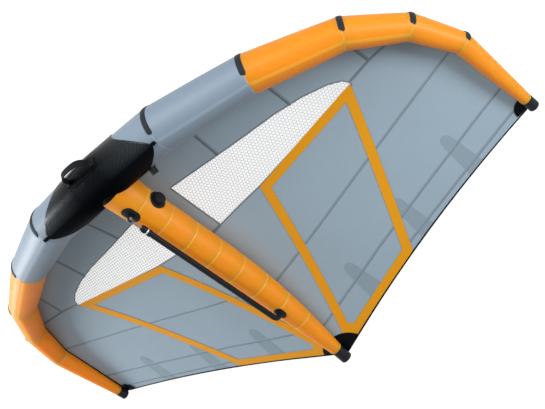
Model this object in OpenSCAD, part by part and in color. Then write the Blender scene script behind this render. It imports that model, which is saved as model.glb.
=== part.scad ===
// Inflatable hand wing with a bent leading edge, one strut and a boom under it.
// It lies on its back with the strut side up, as it is left on a beach: +X is along the span,
// +Y points to the leading edge and +Z up. It rests on the outer bends of its leading edge.
// The wing is drawn in a frame of its own, with the front of the strut along Y, and is then laid down.

/* [Planform] */
// Length from the leading edge's axis to the end of the strut's cloth
centre_len = 1450; // [1400:5:1500]
// Depth of the canopy's camber beside the strut
camber = 62; // [50:1:70]
// Thickness of the canopy's cloth, drawn thicker than the real one
cloth = 1; // [0.8:0.1:1.2]

/* [Leading edge] */
// Diameter of the leading edge at its middle
le_dia = 220; // [212:1:226]
// Diameter of the leading edge at its tips
tip_dia = 52; // [48:1:56]
// Thickness of the tubes' woven skin, drawn thicker than the real one
skin = 1; // [0.8:0.1:1.2]
// Wall of the bladders inside the tubes
bladder_wall = 0.8; // [0.6:0.1:1]
// Length of the cap on each tip
tip_cap_len = 55; // [45:1:65]
// Width of the pads over the bends, along the tube
pad_w = 27; // [20:1:32]

/* [Strut] */
// Diameter of the strut where it meets the leading edge
strut_dia = 176; // [170:1:180]
// Diameter of the strut's end
strut_end_dia = 62; // [56:1:68]
// How far the strut's end bends away from the canopy
strut_bend = 75; // [65:1:85]
// Length of the cap on the strut's end
strut_cap_len = 75; // [60:1:90]

/* [Bumper and handle] */
// Half the width of the bumper where it is widest
bumper_half = 402; // [380:2:404]
// Thickness of the bumper
bumper_t = 4.6; // [3:0.2:6]
// Distance between the handle's feet
handle_span = 150; // [140:5:160]
// Height of the handle's loop
handle_rise = 70; // [60:1:80]
// Width of the handle's webbing
webbing_w = 42; // [35:1:50]

/* [Boom] */
// Diameter of the boom
boom_dia = 28; // [26:0.5:30]
// Length of the boom from its pivot to the rear elbow
boom_len = 866; // [860:1:870]
// Height of the boom's pivot over the strut's axis
pivot_z = 118; // [116:1:122]
// How much higher the boom's rear end is than its pivot
boom_lift = 14; // [12:1:16]
// Diameter of the pivot pin
pin_dia = 8; // [7:0.5:9]

/* [Valves] */
// Diameter of the strut valve's flange
valve_dia = 84; // [80:1:88]
// Diameter of the small valve on the leading edge
le_valve_dia = 34; // [30:1:38]

/* [Hidden] */
$fn = 96;
k = centre_len / 1450;
// Gap between pieces that lie on each other
seat = 0.4;
far = 3000;

function unit(v) = v / norm(v);
function lerp(a, b, t) = a + (b - a) * t;
function clamp(t) = max(0, min(1, t));
// Each stretch of a line cut into n equal steps
function run(line, n) = concat(
    [for (i = [0 : len(line) - 2], s = [0 : n - 1]) lerp(line[i], line[i + 1], s / n)],
    [line[len(line) - 1]]);
// A straight line in n steps
function straight(a, b, n) = [for (i = [0 : n]) lerp(a, b, i / n)];

// Bends of the right half of the leading edge, from the middle to the tip, and their radii
bends = k * [[0, 12, -12], [410, 0, -14], [832, -120, -106], [1211, -295, -190], [1404, -488, -240],
    [1494, -705, -259], [1494, -1122, -260]];
bend_taper = [1, 0.965, 0.82, 0.655, 0.535, 0.436];
bend_r = concat(bend_taper * le_dia / 2, [tip_dia / 2]);
last_bend = len(bends) - 1;
grey_panels = 2;

// Seams of the strut, as shares of its length, with its bent and tapered axis
strut_at = concat([0], [for (i = [0 : 7]) 0.13 + 0.1 * i], [1]);
bend_from = 0.55;
strut_flare = 7;
function strut_z(s) = strut_bend * pow(max(0, (s - bend_from) / (1 - bend_from)), 1.6);
function strut_r(s) = lerp(strut_dia, strut_end_dia, pow(s, 3)) / 2 + strut_flare * pow(1 - s, 16);
strut = [for (s = strut_at) [0, -s * centre_len, strut_z(s)]];
strut_radii = [for (s = strut_at) strut_r(s)];
last_station = len(strut) - 1;

// Tubes sewn of cone panels: each bend is a ball that both its panels touch, so their seam is flat.
function along(p, i) = unit(p[i + 1] - p[i]);
function slant(p, r, i) = asin((r[i] - r[i + 1]) / norm(p[i + 1] - p[i]));
// Normal of the seam at bend i, with its length
function seam_normal(p, r, i) = i == 0 ? along(p, 0) : i == len(p) - 1 ? along(p, i - 1)
    : along(p, i - 1) / cos(slant(p, r, i - 1)) + along(p, i) / cos(slant(p, r, i));
// How far the seam lies ahead of the bend's centre
function seam_shift(p, r, i) = i == 0 || i == len(p) - 1 ? 0
    : r[i] * (tan(slant(p, r, i - 1)) + tan(slant(p, r, i))) / norm(seam_normal(p, r, i));

// Children turned so that their Z axis points along v
module aim(v) {
    rotate([0, acos(v.z / norm(v)), atan2(v.y, v.x)]) children();
}
// All space ahead of a plane through p, moved forward by shift
module ahead(p, v, shift) {
    translate(p) aim(v) translate([-far / 2, -far / 2, shift]) cube(far);
}
// The cone that touches balls i and i + 1, swollen by grow, longer than its panel at both ends
module tube_cone(p, r, i, grow) {
    a = slant(p, r, i);
    spare = r[i] * 0.5;
    length = norm(p[i + 1] - p[i]);
    function cone_r(t) = (r[i] + grow) / cos(a) - t * tan(a);
    translate(p[i]) aim(p[i + 1] - p[i]) translate([0, 0, -spare])
        cylinder(h = length + 2 * spare, r1 = cone_r(-spare), r2 = cone_r(length + spare));
}
// One panel of a tube between its two seams, from grow_in to grow_out off the tube's surface
module tube_panel(p, r, i, grow_in, grow_out, first = undef) {
    difference() {
        intersection() {
            tube_cone(p, r, i, grow_out);
            ahead(p[i], i == 0 && !is_undef(first) ? first : seam_normal(p, r, i), seam_shift(p, r, i));
        }
        tube_cone(p, r, i, grow_in);
        ahead(p[i + 1], seam_normal(p, r, i + 1), seam_shift(p, r, i + 1));
    }
}
middle = [1, 0, 0];
module le_solid(grow) {
    for (side = [0, 1]) mirror([side, 0, 0]) intersection() {
        tube_cone(bends, bend_r, 0, grow);
        ahead([0, 0, 0], middle, 0);
    }
}

// Pose of the wing on the ground: the balls of bends 3 and 4 touch it
ground_a = bends[3];
ground_b = bends[4];
reach = [ground_a.y - ground_b.y, ground_a.z - ground_b.z];
lay_angle = asin((bend_r[3] - bend_r[4]) / norm(reach)) - atan2(reach[1], reach[0]);
function laid(v) = [v.x, v.y * cos(lay_angle) - v.z * sin(lay_angle), v.y * sin(lay_angle) + v.z * cos(lay_angle)];
ground_z = laid(ground_a).z - bend_r[3];
// Middle of the laid wing's length, from the handle's top to the strut's cap
mid_y = -648.3 * k;
module lay() {
    translate([0, -mid_y, -ground_z]) rotate([lay_angle, 0, 0]) children();
}
module on_side(side) {
    mirror([side == "left" ? 1 : 0, 0, 0]) children();
}
module both_sides() {
    children();
    mirror([1, 0, 0]) children();
}

// Line where the canopy is sewn to the leading edge: it turns from the tube's back to its inner side
rim_turn = [12, 40];
rim_gap = 1;
mitre_growth = 1.021;
function bend_dir(i) = i == 0 ? middle : i == last_bend ? along(bends, i - 1)
    : unit(along(bends, i - 1) + along(bends, i));
function back_dir(i) = let (t = bend_dir(i)) unit([0, 0, -1] + t.z * t);
function inner_dir(i) = cross(back_dir(i), bend_dir(i));
function rim_dir(i) = let (turn = lerp(rim_turn[0], rim_turn[1], i / last_bend))
    cos(turn) * back_dir(i) + sin(turn) * inner_dir(i);
rim = [for (i = [0 : last_bend]) bends[i] + rim_dir(i) * (bend_r[i] * mitre_growth + rim_gap)];
tip_x = rim[last_bend - 1].x;
function rim_y(x) = lookup(x, [for (i = [0 : last_bend - 1]) [rim[i].x, rim[i].y]]);
function rim_z(x) = lookup(x, [for (i = [0 : last_bend - 1]) [rim[i].x, rim[i].z]]);
function rim_at(x) = [x, rim_y(x)];
function tip_rim(t) = let (p = lerp(rim[last_bend - 1], rim[last_bend], t)) [p.x, p.y];

// Trailing edge: a hollow curve from the strut's end to the tip
tail_mid = k * [0, -1525, 57];
tail_tip = rim[last_bend] + k * [0, -51, -3];
tail_bow = k * [36, -10];
function tail_share(x) = x / tail_tip.x;
function tail_bend(x) = 4 * tail_share(x) * (1 - tail_share(x));
function tail_y(x) = lerp(tail_mid.y, tail_tip.y, tail_share(x)) + tail_bow[0] * tail_bend(x);
function tail_z(x) = lerp(tail_mid.z, tail_tip.z, tail_share(x)) + tail_bow[1] * tail_bend(x);
function tail_at(x) = [x, tail_y(x)];

// Height of the canopy over its plan: rim to trailing edge with camber, drawn in to the strut's back
strut_pull = 220 * k;
strut_gap = 2;
function chord_share(x, y) = clamp((rim_y(x) - y) / (rim_y(x) - tail_y(x)));
function open_z(x, v) = lerp(rim_z(x), tail_z(x), v)
    - k * camber * (1 - pow(min(1, x / tip_x), 1.5)) * 4 * v * (1 - v) * (1.35 - 0.6 * v);
cap_slope = 0.162;
function strut_back(y) = let (s = clamp(-y / centre_len))
    strut_z(s) - strut_r(s) - strut_gap + cap_slope * max(0, -y - centre_len);
function canopy_z(x, y) = let (v = chord_share(abs(x), y), v0 = chord_share(0, y))
    open_z(abs(x), v) + (strut_back(y) - open_z(0, v0)) * exp(-pow(x / strut_pull, 2)) * (1 - pow(1 - v, 6));

// A sheet of cloth over a patch of the plan with four sides: front, rear, inner and outer.
// Its points blend the four sides, and its height is the canopy's, raised by lift.
module sheet(front, rear, inner, outer, thick = cloth, lift = 0) {
    ns = len(front) - 1;
    nt = len(inner) - 1;
    function spot(i, j) = let (s = i / ns, t = j / nt)
        lerp(front[i], rear[i], t) + lerp(inner[j], outer[j], s)
        - lerp(lerp(front[0], front[ns], s), lerp(rear[0], rear[ns], s), t);
    function at(i, j) = i * (nt + 1) + j;
    plan = [for (i = [0 : ns], j = [0 : nt]) spot(i, j)];
    top = [for (q = plan) [q.x, q.y, canopy_z(q.x, q.y) + lift]];
    count = len(plan);
    quads = concat(
        [for (i = [0 : ns - 1], j = [0 : nt - 1]) [at(i, j), at(i + 1, j), at(i + 1, j + 1), at(i, j + 1)]],
        [for (i = [0 : ns - 1], j = [0 : nt - 1]) count * [1, 1, 1, 1]
            + [at(i, j), at(i, j + 1), at(i + 1, j + 1), at(i + 1, j)]],
        [for (i = [0 : ns - 1]) [at(i + 1, 0), at(i, 0), at(i, 0) + count, at(i + 1, 0) + count]],
        [for (i = [0 : ns - 1]) [at(i, nt), at(i + 1, nt), at(i + 1, nt) + count, at(i, nt) + count]],
        [for (j = [0 : nt - 1]) [at(0, j), at(0, j + 1), at(0, j + 1) + count, at(0, j) + count]],
        [for (j = [0 : nt - 1]) [at(ns, j + 1), at(ns, j), at(ns, j) + count, at(ns, j + 1) + count]]);
    polyhedron(points = concat(top, [for (q = top) q - [0, 0, thick]]),
        faces = concat([for (q = quads) [q[0], q[1], q[2]]], [for (q = quads) [q[0], q[2], q[3]]]));
}
// The line moved sideways by d in the plan
function side_way(line, i) = let (
    n = len(line) - 1,
    u = unit(line[min(i + 1, n)] - line[min(i, n - 1)]),
    w = unit(line[max(i, 1)] - line[max(i, 1) - 1]),
    b = unit(u + w)) [-b.y, b.x] / (b * w);
function moved(line, d) = [for (i = [0 : len(line) - 1]) line[i] + d * side_way(line, i)];
// A tape of even width laid along a line of the plan
module tape(line, width, thick, lift, steps) {
    front = run(moved(line, width / 2), steps);
    rear = run(moved(line, -width / 2), steps);
    last = len(front) - 1;
    sheet(front, rear, [front[0], rear[0]], [front[last], rear[last]], thick, lift);
}

// Lines of the canopy in its plan, right half
strip_half = 95 * k;
window_front = k * [[95, -288], [250, -312], [395, -332], [545, -355], [700, -377], [845, -409], [962, -450],
    [1016, -483], [1032, -512]];
window_rear = straight([strip_half, -593 * k], k * [1032, -530], len(window_front) - 1);
window_tip = window_front[len(window_front) - 1];
closing_seam = [window_tip, k * [1164, -498], rim_at(rim[4].x)];
seam_a = [[strip_half, -993 * k], tip_rim(0)];
seam_b = [[strip_half, -1318 * k], k * [534, -1206], tip_rim(0.71)];
seam_c = [k * [640, -1290], tip_rim(1)];
tail_steps = 16;
tail_line = [for (i = [0 : tail_steps]) tail_at(lerp(strip_half, tail_tip.x, i / tail_steps))];

grey = "#93a5b4";
orange = "#f59a1e";
black = "#23272b";
silver = "#c3c7ca";

// Leading edge: two grey and four orange cone panels on each side
module le_panel(i) {
    color(i < grey_panels ? grey : orange) tube_panel(bends, bend_r, i, -skin, 0, middle);
}
// Strut: nine cone panels; the first is cut to the leading edge that it is sewn to
module strut_panel(i) {
    color(orange) difference() {
        tube_panel(strut, strut_radii, i, -skin, 0);
        if (i == 0) le_solid(seat);
    }
}

// Bladders: closed air tubes inside the skins. Each length is an outer cone less an inner one, and the
// lengths are drawn a hair apart where they are welded.
// Child 0 is the space beyond the bladder's end, and child 1 the space that its end wall keeps filled.
bladder_gap = 0.6;
bladder_out = -skin - bladder_gap;
bladder_short = 24;
weld_gap = 0.3;
module bladder_length(p, r, i, first = undef) {
    difference() {
        intersection() {
            tube_cone(p, r, i, bladder_out);
            ahead(p[i], i == 0 && !is_undef(first) ? first : seam_normal(p, r, i), seam_shift(p, r, i) + weld_gap / 2);
        }
        ahead(p[i + 1], seam_normal(p, r, i + 1), seam_shift(p, r, i + 1) - weld_gap / 2);
        if ($children > 0) children(0);
        difference() {
            tube_cone(p, r, i, bladder_out - bladder_wall);
            if ($children > 1) children(1);
        }
    }
}
module le_bladder() {
    tip = bends[last_bend];
    tip_dir = along(bends, last_bend - 1);
    color("gainsboro") for (side = [0, 1]) mirror([side, 0, 0]) {
        for (i = [0 : last_bend - 2]) bladder_length(bends, bend_r, i, middle);
        bladder_length(bends, bend_r, last_bend - 1) {
            ahead(tip, tip_dir, -bladder_short);
            ahead(tip, tip_dir, -bladder_short - bladder_wall);
        }
    }
}
strut_start = 0.1;
module strut_bladder() {
    start = [0, -strut_start * centre_len, 0];
    tail_dir = along(strut, last_station - 1);
    color("gainsboro") {
        bladder_length(strut, strut_radii, 0) {
            ahead(start, [0, 1, 0], 0);
            ahead(start, [0, 1, 0], -bladder_wall);
        }
        for (i = [1 : last_station - 2]) bladder_length(strut, strut_radii, i);
        bladder_length(strut, strut_radii, last_station - 1) {
            ahead(strut[last_station], tail_dir, -bladder_short);
            ahead(strut[last_station], tail_dir, -bladder_short - bladder_wall);
        }
    }
}

// Moulded end plug: a rounded cap with a spigot in the tube's end
cap_edge = 8;
spigot_len = 16;
module end_plug(r, len) {
    translate([0, 0, -spigot_len]) cylinder(h = spigot_len + 1, r = r - skin - 2.5);
    rotate_extrude() {
        square([r, len - cap_edge]);
        square([r - cap_edge, len]);
        translate([r - cap_edge, len - cap_edge]) intersection() {
            circle(cap_edge);
            square(cap_edge);
        }
    }
}
module tip_cap() {
    color(black) translate(bends[last_bend]) aim(along(bends, last_bend - 1))
        end_plug(tip_dia / 2 + 0.6, tip_cap_len);
}
module strut_cap() {
    color(black) translate(strut[last_station]) aim(along(strut, last_station - 1))
        end_plug(strut_end_dia / 2 - 0.5, strut_cap_len);
}

// Children turned about the leading edge so that their Z axis points to an angle from the front
module on_nose(angle) {
    translate(bends[0]) rotate([angle - 90, 0, 0]) children();
}
module nose_shell(grow_in, grow_out) {
    for (side = [0, 1]) mirror([side, 0, 0]) tube_panel(bends, bend_r, 0, grow_in, grow_out, middle);
}
// A wide rounded outline: w by h with corners of radius r
module rounded(w, h, r) {
    square([w - 2 * r, h], center = true);
    square([w, h - 2 * r], center = true);
    for (x = [-1, 1], y = [-1, 1]) translate([x * (w / 2 - r), y * (h / 2 - r)]) circle(r);
}

// Bumper: a padded cover over the middle of the leading edge, cut out round the strut's front and the small valve.
// Its half width is given at angles round the tube, counted from the front to the strut's side.
bumper_face = 65;
bumper_angle = [-24, 0, 20, 45, 70, 85, 98, 110, 125, 140, 154];
bumper_share = [0.5, 0.535, 0.63, 0.795, 0.935, 1, 0.965, 0.885, 0.79, 0.67, 0.5];
module bumper() {
    edge_r = bend_r[0] + 6;
    right_edge = [for (i = [0 : len(bumper_angle) - 1])
        [bumper_half * bumper_share[i], edge_r * cos(bumper_angle[i] + 90 - bumper_face)]];
    ends = concat([[right_edge[0].x, 140]], right_edge, [[right_edge[len(right_edge) - 1].x, -140]]);
    color(black) difference() {
        intersection() {
            nose_shell(seat, seat + bumper_t);
            on_nose(bumper_face) linear_extrude(300)
                polygon(concat(ends, [for (i = [len(ends) - 1 : -1 : 0]) [-ends[i].x, ends[i].y]]));
        }
        tube_cone(strut, strut_radii, 0, 2);
        on_le_valve() translate([0, 0, -20]) cylinder(h = 60, r = le_valve_flange + 1);
    }
}

// Handle: a webbing loop sewn to a base patch on the bumper
handle_angle = 28;
base_t = 2.4;
loop_t = 5;
foot_t = 2.5;
base_rise = seat + bumper_t + seat;
// Height of the feet over the leading edge's axis: the tube tapers and bends away under them
foot_z = bend_r[0] + base_rise + base_t - 2.4;
// The loop's ends turn on this line, just above the feet
fold_z = foot_z + foot_t + 3.6;
fold_r = 3;
module handle_base() {
    foot_len = 30;
    color("#1b1e21") {
        intersection() {
            nose_shell(base_rise, base_rise + base_t);
            on_nose(handle_angle) linear_extrude(300) rounded(handle_span + 66, 76, 24);
        }
        difference() {
            on_nose(handle_angle) for (x = [-1, 1]) translate([x * handle_span / 2, 0, foot_z - 6])
                linear_extrude(foot_t + 6) rounded(foot_len, webbing_w, 6);
            le_solid(base_rise + base_t / 2);
        }
    }
}
module handle_loop() {
    rise = handle_rise - (fold_z - foot_z);
    loop_r = (pow(handle_span / 2, 2) + pow(rise, 2)) / (2 * rise);
    half_w = webbing_w / 2;
    color(black) on_nose(handle_angle) translate([0, 0, fold_z]) intersection() {
        rotate([90, 0, 0]) linear_extrude(webbing_w, center = true) intersection() {
            translate([0, rise - loop_r]) difference() {
                circle(loop_r);
                circle(loop_r - loop_t);
            }
            translate([-handle_span, -2 * fold_r]) square([2 * handle_span, 2 * handle_rise]);
        }
        // Seen from the side the webbing narrows to its folds
        across(2 * handle_span + 60) polygon([[-1.6, -2.4], [1.6, -2.4], [fold_r, -0.6], [half_w + 1, 15],
            [half_w + 1, handle_rise], [-half_w - 1, handle_rise], [-half_w - 1, 15], [-fold_r, -0.6]]);
    }
}

// Pads sewn over the outer side of every bend
pad_reach = 1.75;
pad_t = 2;
module bend_outside(i, grow) {
    intersection() {
        tube_cone(bends, bend_r, i - 1, grow);
        tube_cone(bends, bend_r, i, grow);
    }
}
module seam_pads() {
    color(black) for (i = [1 : last_bend - 1]) difference() {
        intersection() {
            bend_outside(i, seat + pad_t);
            translate(bends[i]) aim(-inner_dir(i)) rotate([0, 0, atan2(pad_up(i).y, pad_up(i).x)])
                linear_extrude(far / 10) rounded(bend_r[i] * pad_reach, pad_w, pad_w / 2 - 1);
        }
        bend_outside(i, seat);
    }
}
// Direction round the tube of the pad at bend i, in the turned frame
function pad_up(i) = let (v = -inner_dir(i), polar = acos(v.z), turn = atan2(v.y, v.x), b = back_dir(i))
    [b * [cos(polar) * cos(turn), cos(polar) * sin(turn), -sin(polar)], b * [-sin(turn), cos(turn), 0]];

// Canopy: sewn of a middle strip under the strut and, on each side, nose, window, mid, aft and tail cloths
strip_steps = [6, 22];
module canopy_strip() {
    last = strip_steps[0];
    across_x = [for (i = [0 : last]) lerp(-strip_half, strip_half, i / last)];
    front = [for (x = across_x) [x, rim_y(abs(x))]];
    rear = [for (x = across_x) [x, tail_y(abs(x))]];
    color(grey) sheet(front, rear, straight(front[0], rear[0], strip_steps[1]),
        straight(front[last], rear[last], strip_steps[1]));
}
nose_x = [strip_half, 250 * k, rim[1].x, 545 * k, 680 * k, rim[2].x, 940 * k, 1060 * k, rim[3].x, 1270 * k,
    1340 * k];
module canopy_nose() {
    front = [for (x = nose_x) rim_at(x)];
    rear = concat(window_front, [closing_seam[1], closing_seam[2]]);
    last = len(front) - 1;
    color(grey) sheet(run(front, 2), run(rear, 2), straight(front[0], rear[0], 4),
        straight(front[last], rear[last], 4));
}
module window() {
    last = len(window_front) - 1;
    color("white") sheet(run(window_front, 2), run(window_rear, 2),
        straight(window_front[0], window_rear[0], 4), straight(window_front[last], window_rear[last], 4));
}
module canopy_mid() {
    w_last = len(window_rear) - 1;
    front = concat([window_rear[0], window_rear[3], window_rear[w_last]], closing_seam);
    rear = straight(seam_a[0], seam_a[1], len(front) - 1);
    color(grey) sheet(run(front, 3), run(rear, 3), straight(front[0], rear[0], 6),
        straight(closing_seam[2], tip_rim(0), 6));
}
module canopy_aft() {
    color(grey) sheet(straight(seam_a[0], seam_a[1], tail_steps), run(seam_b, tail_steps / 2),
        straight(seam_a[0], seam_b[0], 5), straight(seam_a[1], seam_b[2], 5));
}
module canopy_tail() {
    tip_side = [seam_b[2], tip_rim(1), tail_line[tail_steps]];
    color(grey) sheet(run(seam_b, tail_steps / 2), tail_line, straight(seam_b[0], tail_line[0], 4),
        run(tip_side, 2));
}

// Tapes over the seams, on the strut side of the cloth
tape_t = 0.6;
tape_lift = 1.2;
short_lift = 2.2;
tape_end = 12 * k;
short_seams = k * [[[409, -110], [383, -332]], [[792, -205], [786, -400]], [[1159, -420], [1164, -498]]];
function shortened(line) = let (n = len(line) - 1) [for (i = [0 : n])
    line[i] + (i == 0 ? unit(line[1] - line[0]) : i == n ? unit(line[n - 1] - line[n]) : [0, 0]) * tape_end];
module seam_tapes() {
    color("slategray") {
        for (line = [seam_a, seam_b, seam_c]) tape(shortened(line), 13 * k, tape_t, tape_lift, 14);
        for (line = short_seams) tape(shortened(line), 13 * k, tape_t, short_lift, 14);
    }
}
// Colour stripe: a closed four-sided band
stripe_w = 45 * k;
stripe_lift = 4;
stripe_corners = k * [[40, -1499], [628, -1331], [1030, -518], [376, -597]];
module stripe() {
    n = len(stripe_corners);
    function corner(i) = stripe_corners[(i + n) % n];
    function inset(i) = let (u = unit(corner(i) - corner(i - 1)), w = unit(corner(i + 1) - corner(i)),
        b = unit(u + w)) corner(i) + [-b.y, b.x] * stripe_w / (b * w);
    color("#e09a18") for (i = [0 : n - 1]) {
        front = straight(inset(i), inset(i + 1), 10);
        rear = straight(corner(i), corner(i + 1), 10);
        sheet(front, rear, [front[0], rear[0]], [front[10], rear[10]], tape_t, stripe_lift);
    }
}
// Reinforcing patches at the trailing edge, each with a round nose
fin_nose = k * [[370, -1171], [790, -1079], [1147, -1002]];
fin_len_x = k * [[318, 420], [735, 822], [1093, 1176]];
fin_lift = 2.6;
module fin_patches() {
    color("#7f92a3") for (i = [0 : 2]) {
        nose = fin_nose[i];
        foot = [tail_at(fin_len_x[i][0]) + [0, 8 * k], tail_at(fin_len_x[i][1]) + [0, 8 * k]];
        nose_half = [16 * k, 0];
        inner = [nose - nose_half, lerp(nose - nose_half, foot[0], 0.5) - nose_half, foot[0]];
        outer = [nose + nose_half, lerp(nose + nose_half, foot[1], 0.5) + nose_half, foot[1]];
        sheet(straight(inner[0], outer[0], 2), straight(foot[0], foot[1], 2), run(inner, 3), run(outer, 3),
            tape_t, fin_lift);
    }
}
// Trailing edge tape, wider at its corners
tail_tape_w = 10 * k;
tail_lift = 5.2;
module tail_tapes() {
    last_x = tail_tip.x - 8 * k;
    line = [for (i = [0 : tail_steps]) tail_at(lerp(strip_half, last_x, i / tail_steps)) + [0, tail_tape_w / 2]];
    color(black) tape(line, tail_tape_w, tape_t, tail_lift, 1);
}

// Corner patches: quarter rounds at the strut's end and at the tip
corner_lift = 6.4;
corner_core = 10 * k;
module corner_patch(c, r, from, to) {
    function arc(q) = [for (i = [0 : 8]) let (a = lerp(from, to, i / 8)) c + q * [cos(a), sin(a)]];
    front = arc(r);
    rear = arc(corner_core);
    sheet(front, rear, straight(front[0], rear[0], 2), straight(front[8], rear[8], 2), tape_t, corner_lift);
}
module corner_patches() {
    function turn(i) = atan2(tail_line[i + 1].y - tail_line[i].y, tail_line[i + 1].x - tail_line[i].x);
    color(black) {
        corner_patch(tail_at(26 * k) + k * [0, 6], 101 * k, 90, turn(0) + 2);
        corner_patch([tail_tip.x - 14 * k, tail_tip.y + 6 * k], 58 * k, 178 + turn(tail_steps - 1), 96);
    }
}

// Strut valve: a flange welded to the strut's side, with a neck and a screw cap
valve_y = -243 * k;
valve_r = strut_r(-valve_y / centre_len);
valve_neck = 10;
valve_cap_h = 14;
module on_valve() {
    translate([valve_r, valve_y, 0]) rotate([0, 90, 0]) children();
}
module strut_valve_base() {
    color(black) difference() {
        on_valve() rotate_extrude() {
            translate([0, -14]) square([valve_dia / 2 - 2, 17]);
            translate([0, -14]) square([valve_dia / 2, 15]);
            translate([valve_dia / 2 - 2, 1]) circle(2);
            square([valve_dia * 0.27, valve_neck]);
        }
        tube_cone(strut, strut_radii, 1, seat);
        on_valve() cylinder(h = 2 * valve_neck, r = valve_dia * 0.2);
    }
}
module strut_valve_cap() {
    cap_r = valve_dia * 0.34;
    grips = 16;
    color(black) on_valve() difference() {
        rotate_extrude() {
            translate([0, valve_neck + seat]) square([cap_r - 3, valve_cap_h]);
            translate([0, valve_neck + seat]) square([cap_r, valve_cap_h - 3]);
            translate([cap_r - 3, valve_neck + seat + valve_cap_h - 3]) circle(3);
            translate([valve_dia * 0.27 + seat, 4]) square([cap_r - valve_dia * 0.27 - seat, valve_neck]);
        }
        for (a = [0 : grips - 1]) rotate(a * 360 / grips) translate([cap_r + 1.6, 0, 3])
            cylinder(h = valve_cap_h + valve_neck, r = 3);
    }
}

// Small valve on the back of the leading edge, right of the strut
le_valve_x = 250 * k;
le_valve_angle = 152;
le_valve_flange = le_valve_dia * 0.7;
le_valve_r = lerp(bend_r[0], bend_r[1], le_valve_x / bends[1].x);
module on_le_valve() {
    axis_p = lerp(bends[0], bends[1], le_valve_x / bends[1].x);
    translate(axis_p) rotate([le_valve_angle - 90, 0, 0]) translate([0, 0, le_valve_r]) children();
}
module le_valve_base() {
    color(black) difference() {
        on_le_valve() {
            translate([0, 0, -8]) cylinder(h = 11, r = le_valve_flange);
            cylinder(h = 12, r = le_valve_dia * 0.34);
        }
        tube_cone(bends, bend_r, 0, seat);
    }
}
module le_valve_cap() {
    cap_len = 30;
    grips = 12;
    color(black) on_le_valve() difference() {
        translate([0, 0, 3 + seat]) cylinder(h = cap_len, r = le_valve_dia / 2);
        translate([0, 0, -1]) cylinder(h = 13.5, r = le_valve_dia * 0.34 + seat);
        for (a = [0 : grips - 1]) rotate(a * 360 / grips) translate([le_valve_dia / 2 + 0.9, 0, 8])
            cylinder(h = cap_len, r = 2);
    }
}

// Boom: it turns on a pin in the lug on the strut's front and hooks into a socket near the rear
pivot = [0, -176 * k, pivot_z];
boom_tilt = -atan2(boom_lift, boom_len);
module on_boom() {
    translate(pivot) rotate([boom_tilt, 0, 0]) children();
}
// Profile in the plane of the strut, w wide across it
module across(w) {
    rotate([90, 0, 90]) linear_extrude(w, center = true) children();
}
patch_t = 2.6;
module strut_patch(y, w, len, i) {
    intersection() {
        tube_panel(strut, strut_radii, i, seat, seat + patch_t);
        translate([0, y, 0]) linear_extrude(300) rounded(w, len, w / 2 - 1);
    }
}
lug_w = 10;
lug_r = 9;
pin_r = pin_dia / 2;
lug_foot = strut_r(0.12) + seat + patch_t + 0.8;
module boom_patch() {
    color(black) union() {
        strut_patch(pivot.y, 62, 92, 0);
        strut_patch(pivot.y, 62, 92, 1);
    }
}
module boom_lug() {
    color(black) translate([0, pivot.y, 0]) across(lug_w) difference() {
        union() {
            translate([-20, lug_foot]) square([40, 8]);
            translate([-lug_r, lug_foot]) square([2 * lug_r, pivot.z - lug_foot]);
            translate([0, pivot.z]) circle(lug_r);
        }
        translate([0, pivot.z]) circle(pin_r);
    }
}
ear_gap = 0.4;
ear_t = 4;
ear_out = lug_w / 2 + ear_gap + ear_t;
module boom_pin() {
    head = 2;
    color(silver) translate(pivot) rotate([0, 90, 0]) {
        cylinder(h = 2 * (ear_out + ear_gap), r = pin_r, center = true);
        for (z = [-1, 1]) translate([0, 0, z * (ear_out + ear_gap + head / 2)])
            cylinder(h = head, r = pin_r + 2.5, center = true);
    }
}
bridge = [13, 24];
rod_r = 6;
rod_end = 79;
fork_fit = 0.06;
module boom_fork() {
    color(silver) on_boom() {
        for (x = [-1, 1]) translate([x * (lug_w / 2 + ear_gap + ear_t / 2), 0, 0]) across(ear_t) difference() {
            union() {
                circle(lug_r - 1);
                translate([-bridge[1], -lug_r + 2]) square([bridge[1], 2 * lug_r - 4]);
            }
            circle(pin_r + fork_fit);
        }
        translate([0, -(bridge[0] + bridge[1]) / 2, 0]) cube([2 * ear_out, bridge[1] - bridge[0], 2 * lug_r - 4], center = true);
        translate([0, -rod_end, 0]) rotate([-90, 0, 0]) cylinder(h = rod_end - bridge[1] + 1, r = rod_r);
    }
}
tube_from = 66;
adjuster_len = 38;
adjuster_gap = 0.4;
module boom_adjuster() {
    flutes = 18;
    r = boom_dia / 2 + 3;
    color(silver) on_boom() translate([0, -tube_from - 12, 0]) rotate([90, 0, 0]) difference() {
        cylinder(h = adjuster_len, r = r);
        translate([0, 0, -1]) cylinder(h = adjuster_len + 2, r = boom_dia / 2 + adjuster_gap);
        for (a = [0 : flutes - 1]) rotate(a * 360 / flutes) translate([r + 0.6, 0, 5])
            cylinder(h = adjuster_len - 10, r = 1.6);
    }
}
tube_wall = 1.6;
module boom_tube() {
    color(black) on_boom() difference() {
        union() {
            translate([0, -tube_from, 0]) rotate([90, 0, 0]) cylinder(h = boom_len - tube_from, r = boom_dia / 2);
            for (y = [tube_from + 8, tube_from + 12 + adjuster_len + adjuster_gap])
                translate([0, -y, 0]) rotate([90, 0, 0]) cylinder(h = 3.6, r = boom_dia / 2 + 2);
        }
        translate([0, -tube_from - 14, 0]) rotate([90, 0, 0]) cylinder(h = boom_len, r = boom_dia / 2 - tube_wall);
        translate([0, -tube_from + 1, 0]) rotate([90, 0, 0]) cylinder(h = 20, r = rod_r + 0.05);
    }
}
elbow_r = 26;
elbow_tube = 12;
hook_drop = 36;
hook_r = 8;
hook_len = 7;
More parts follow.
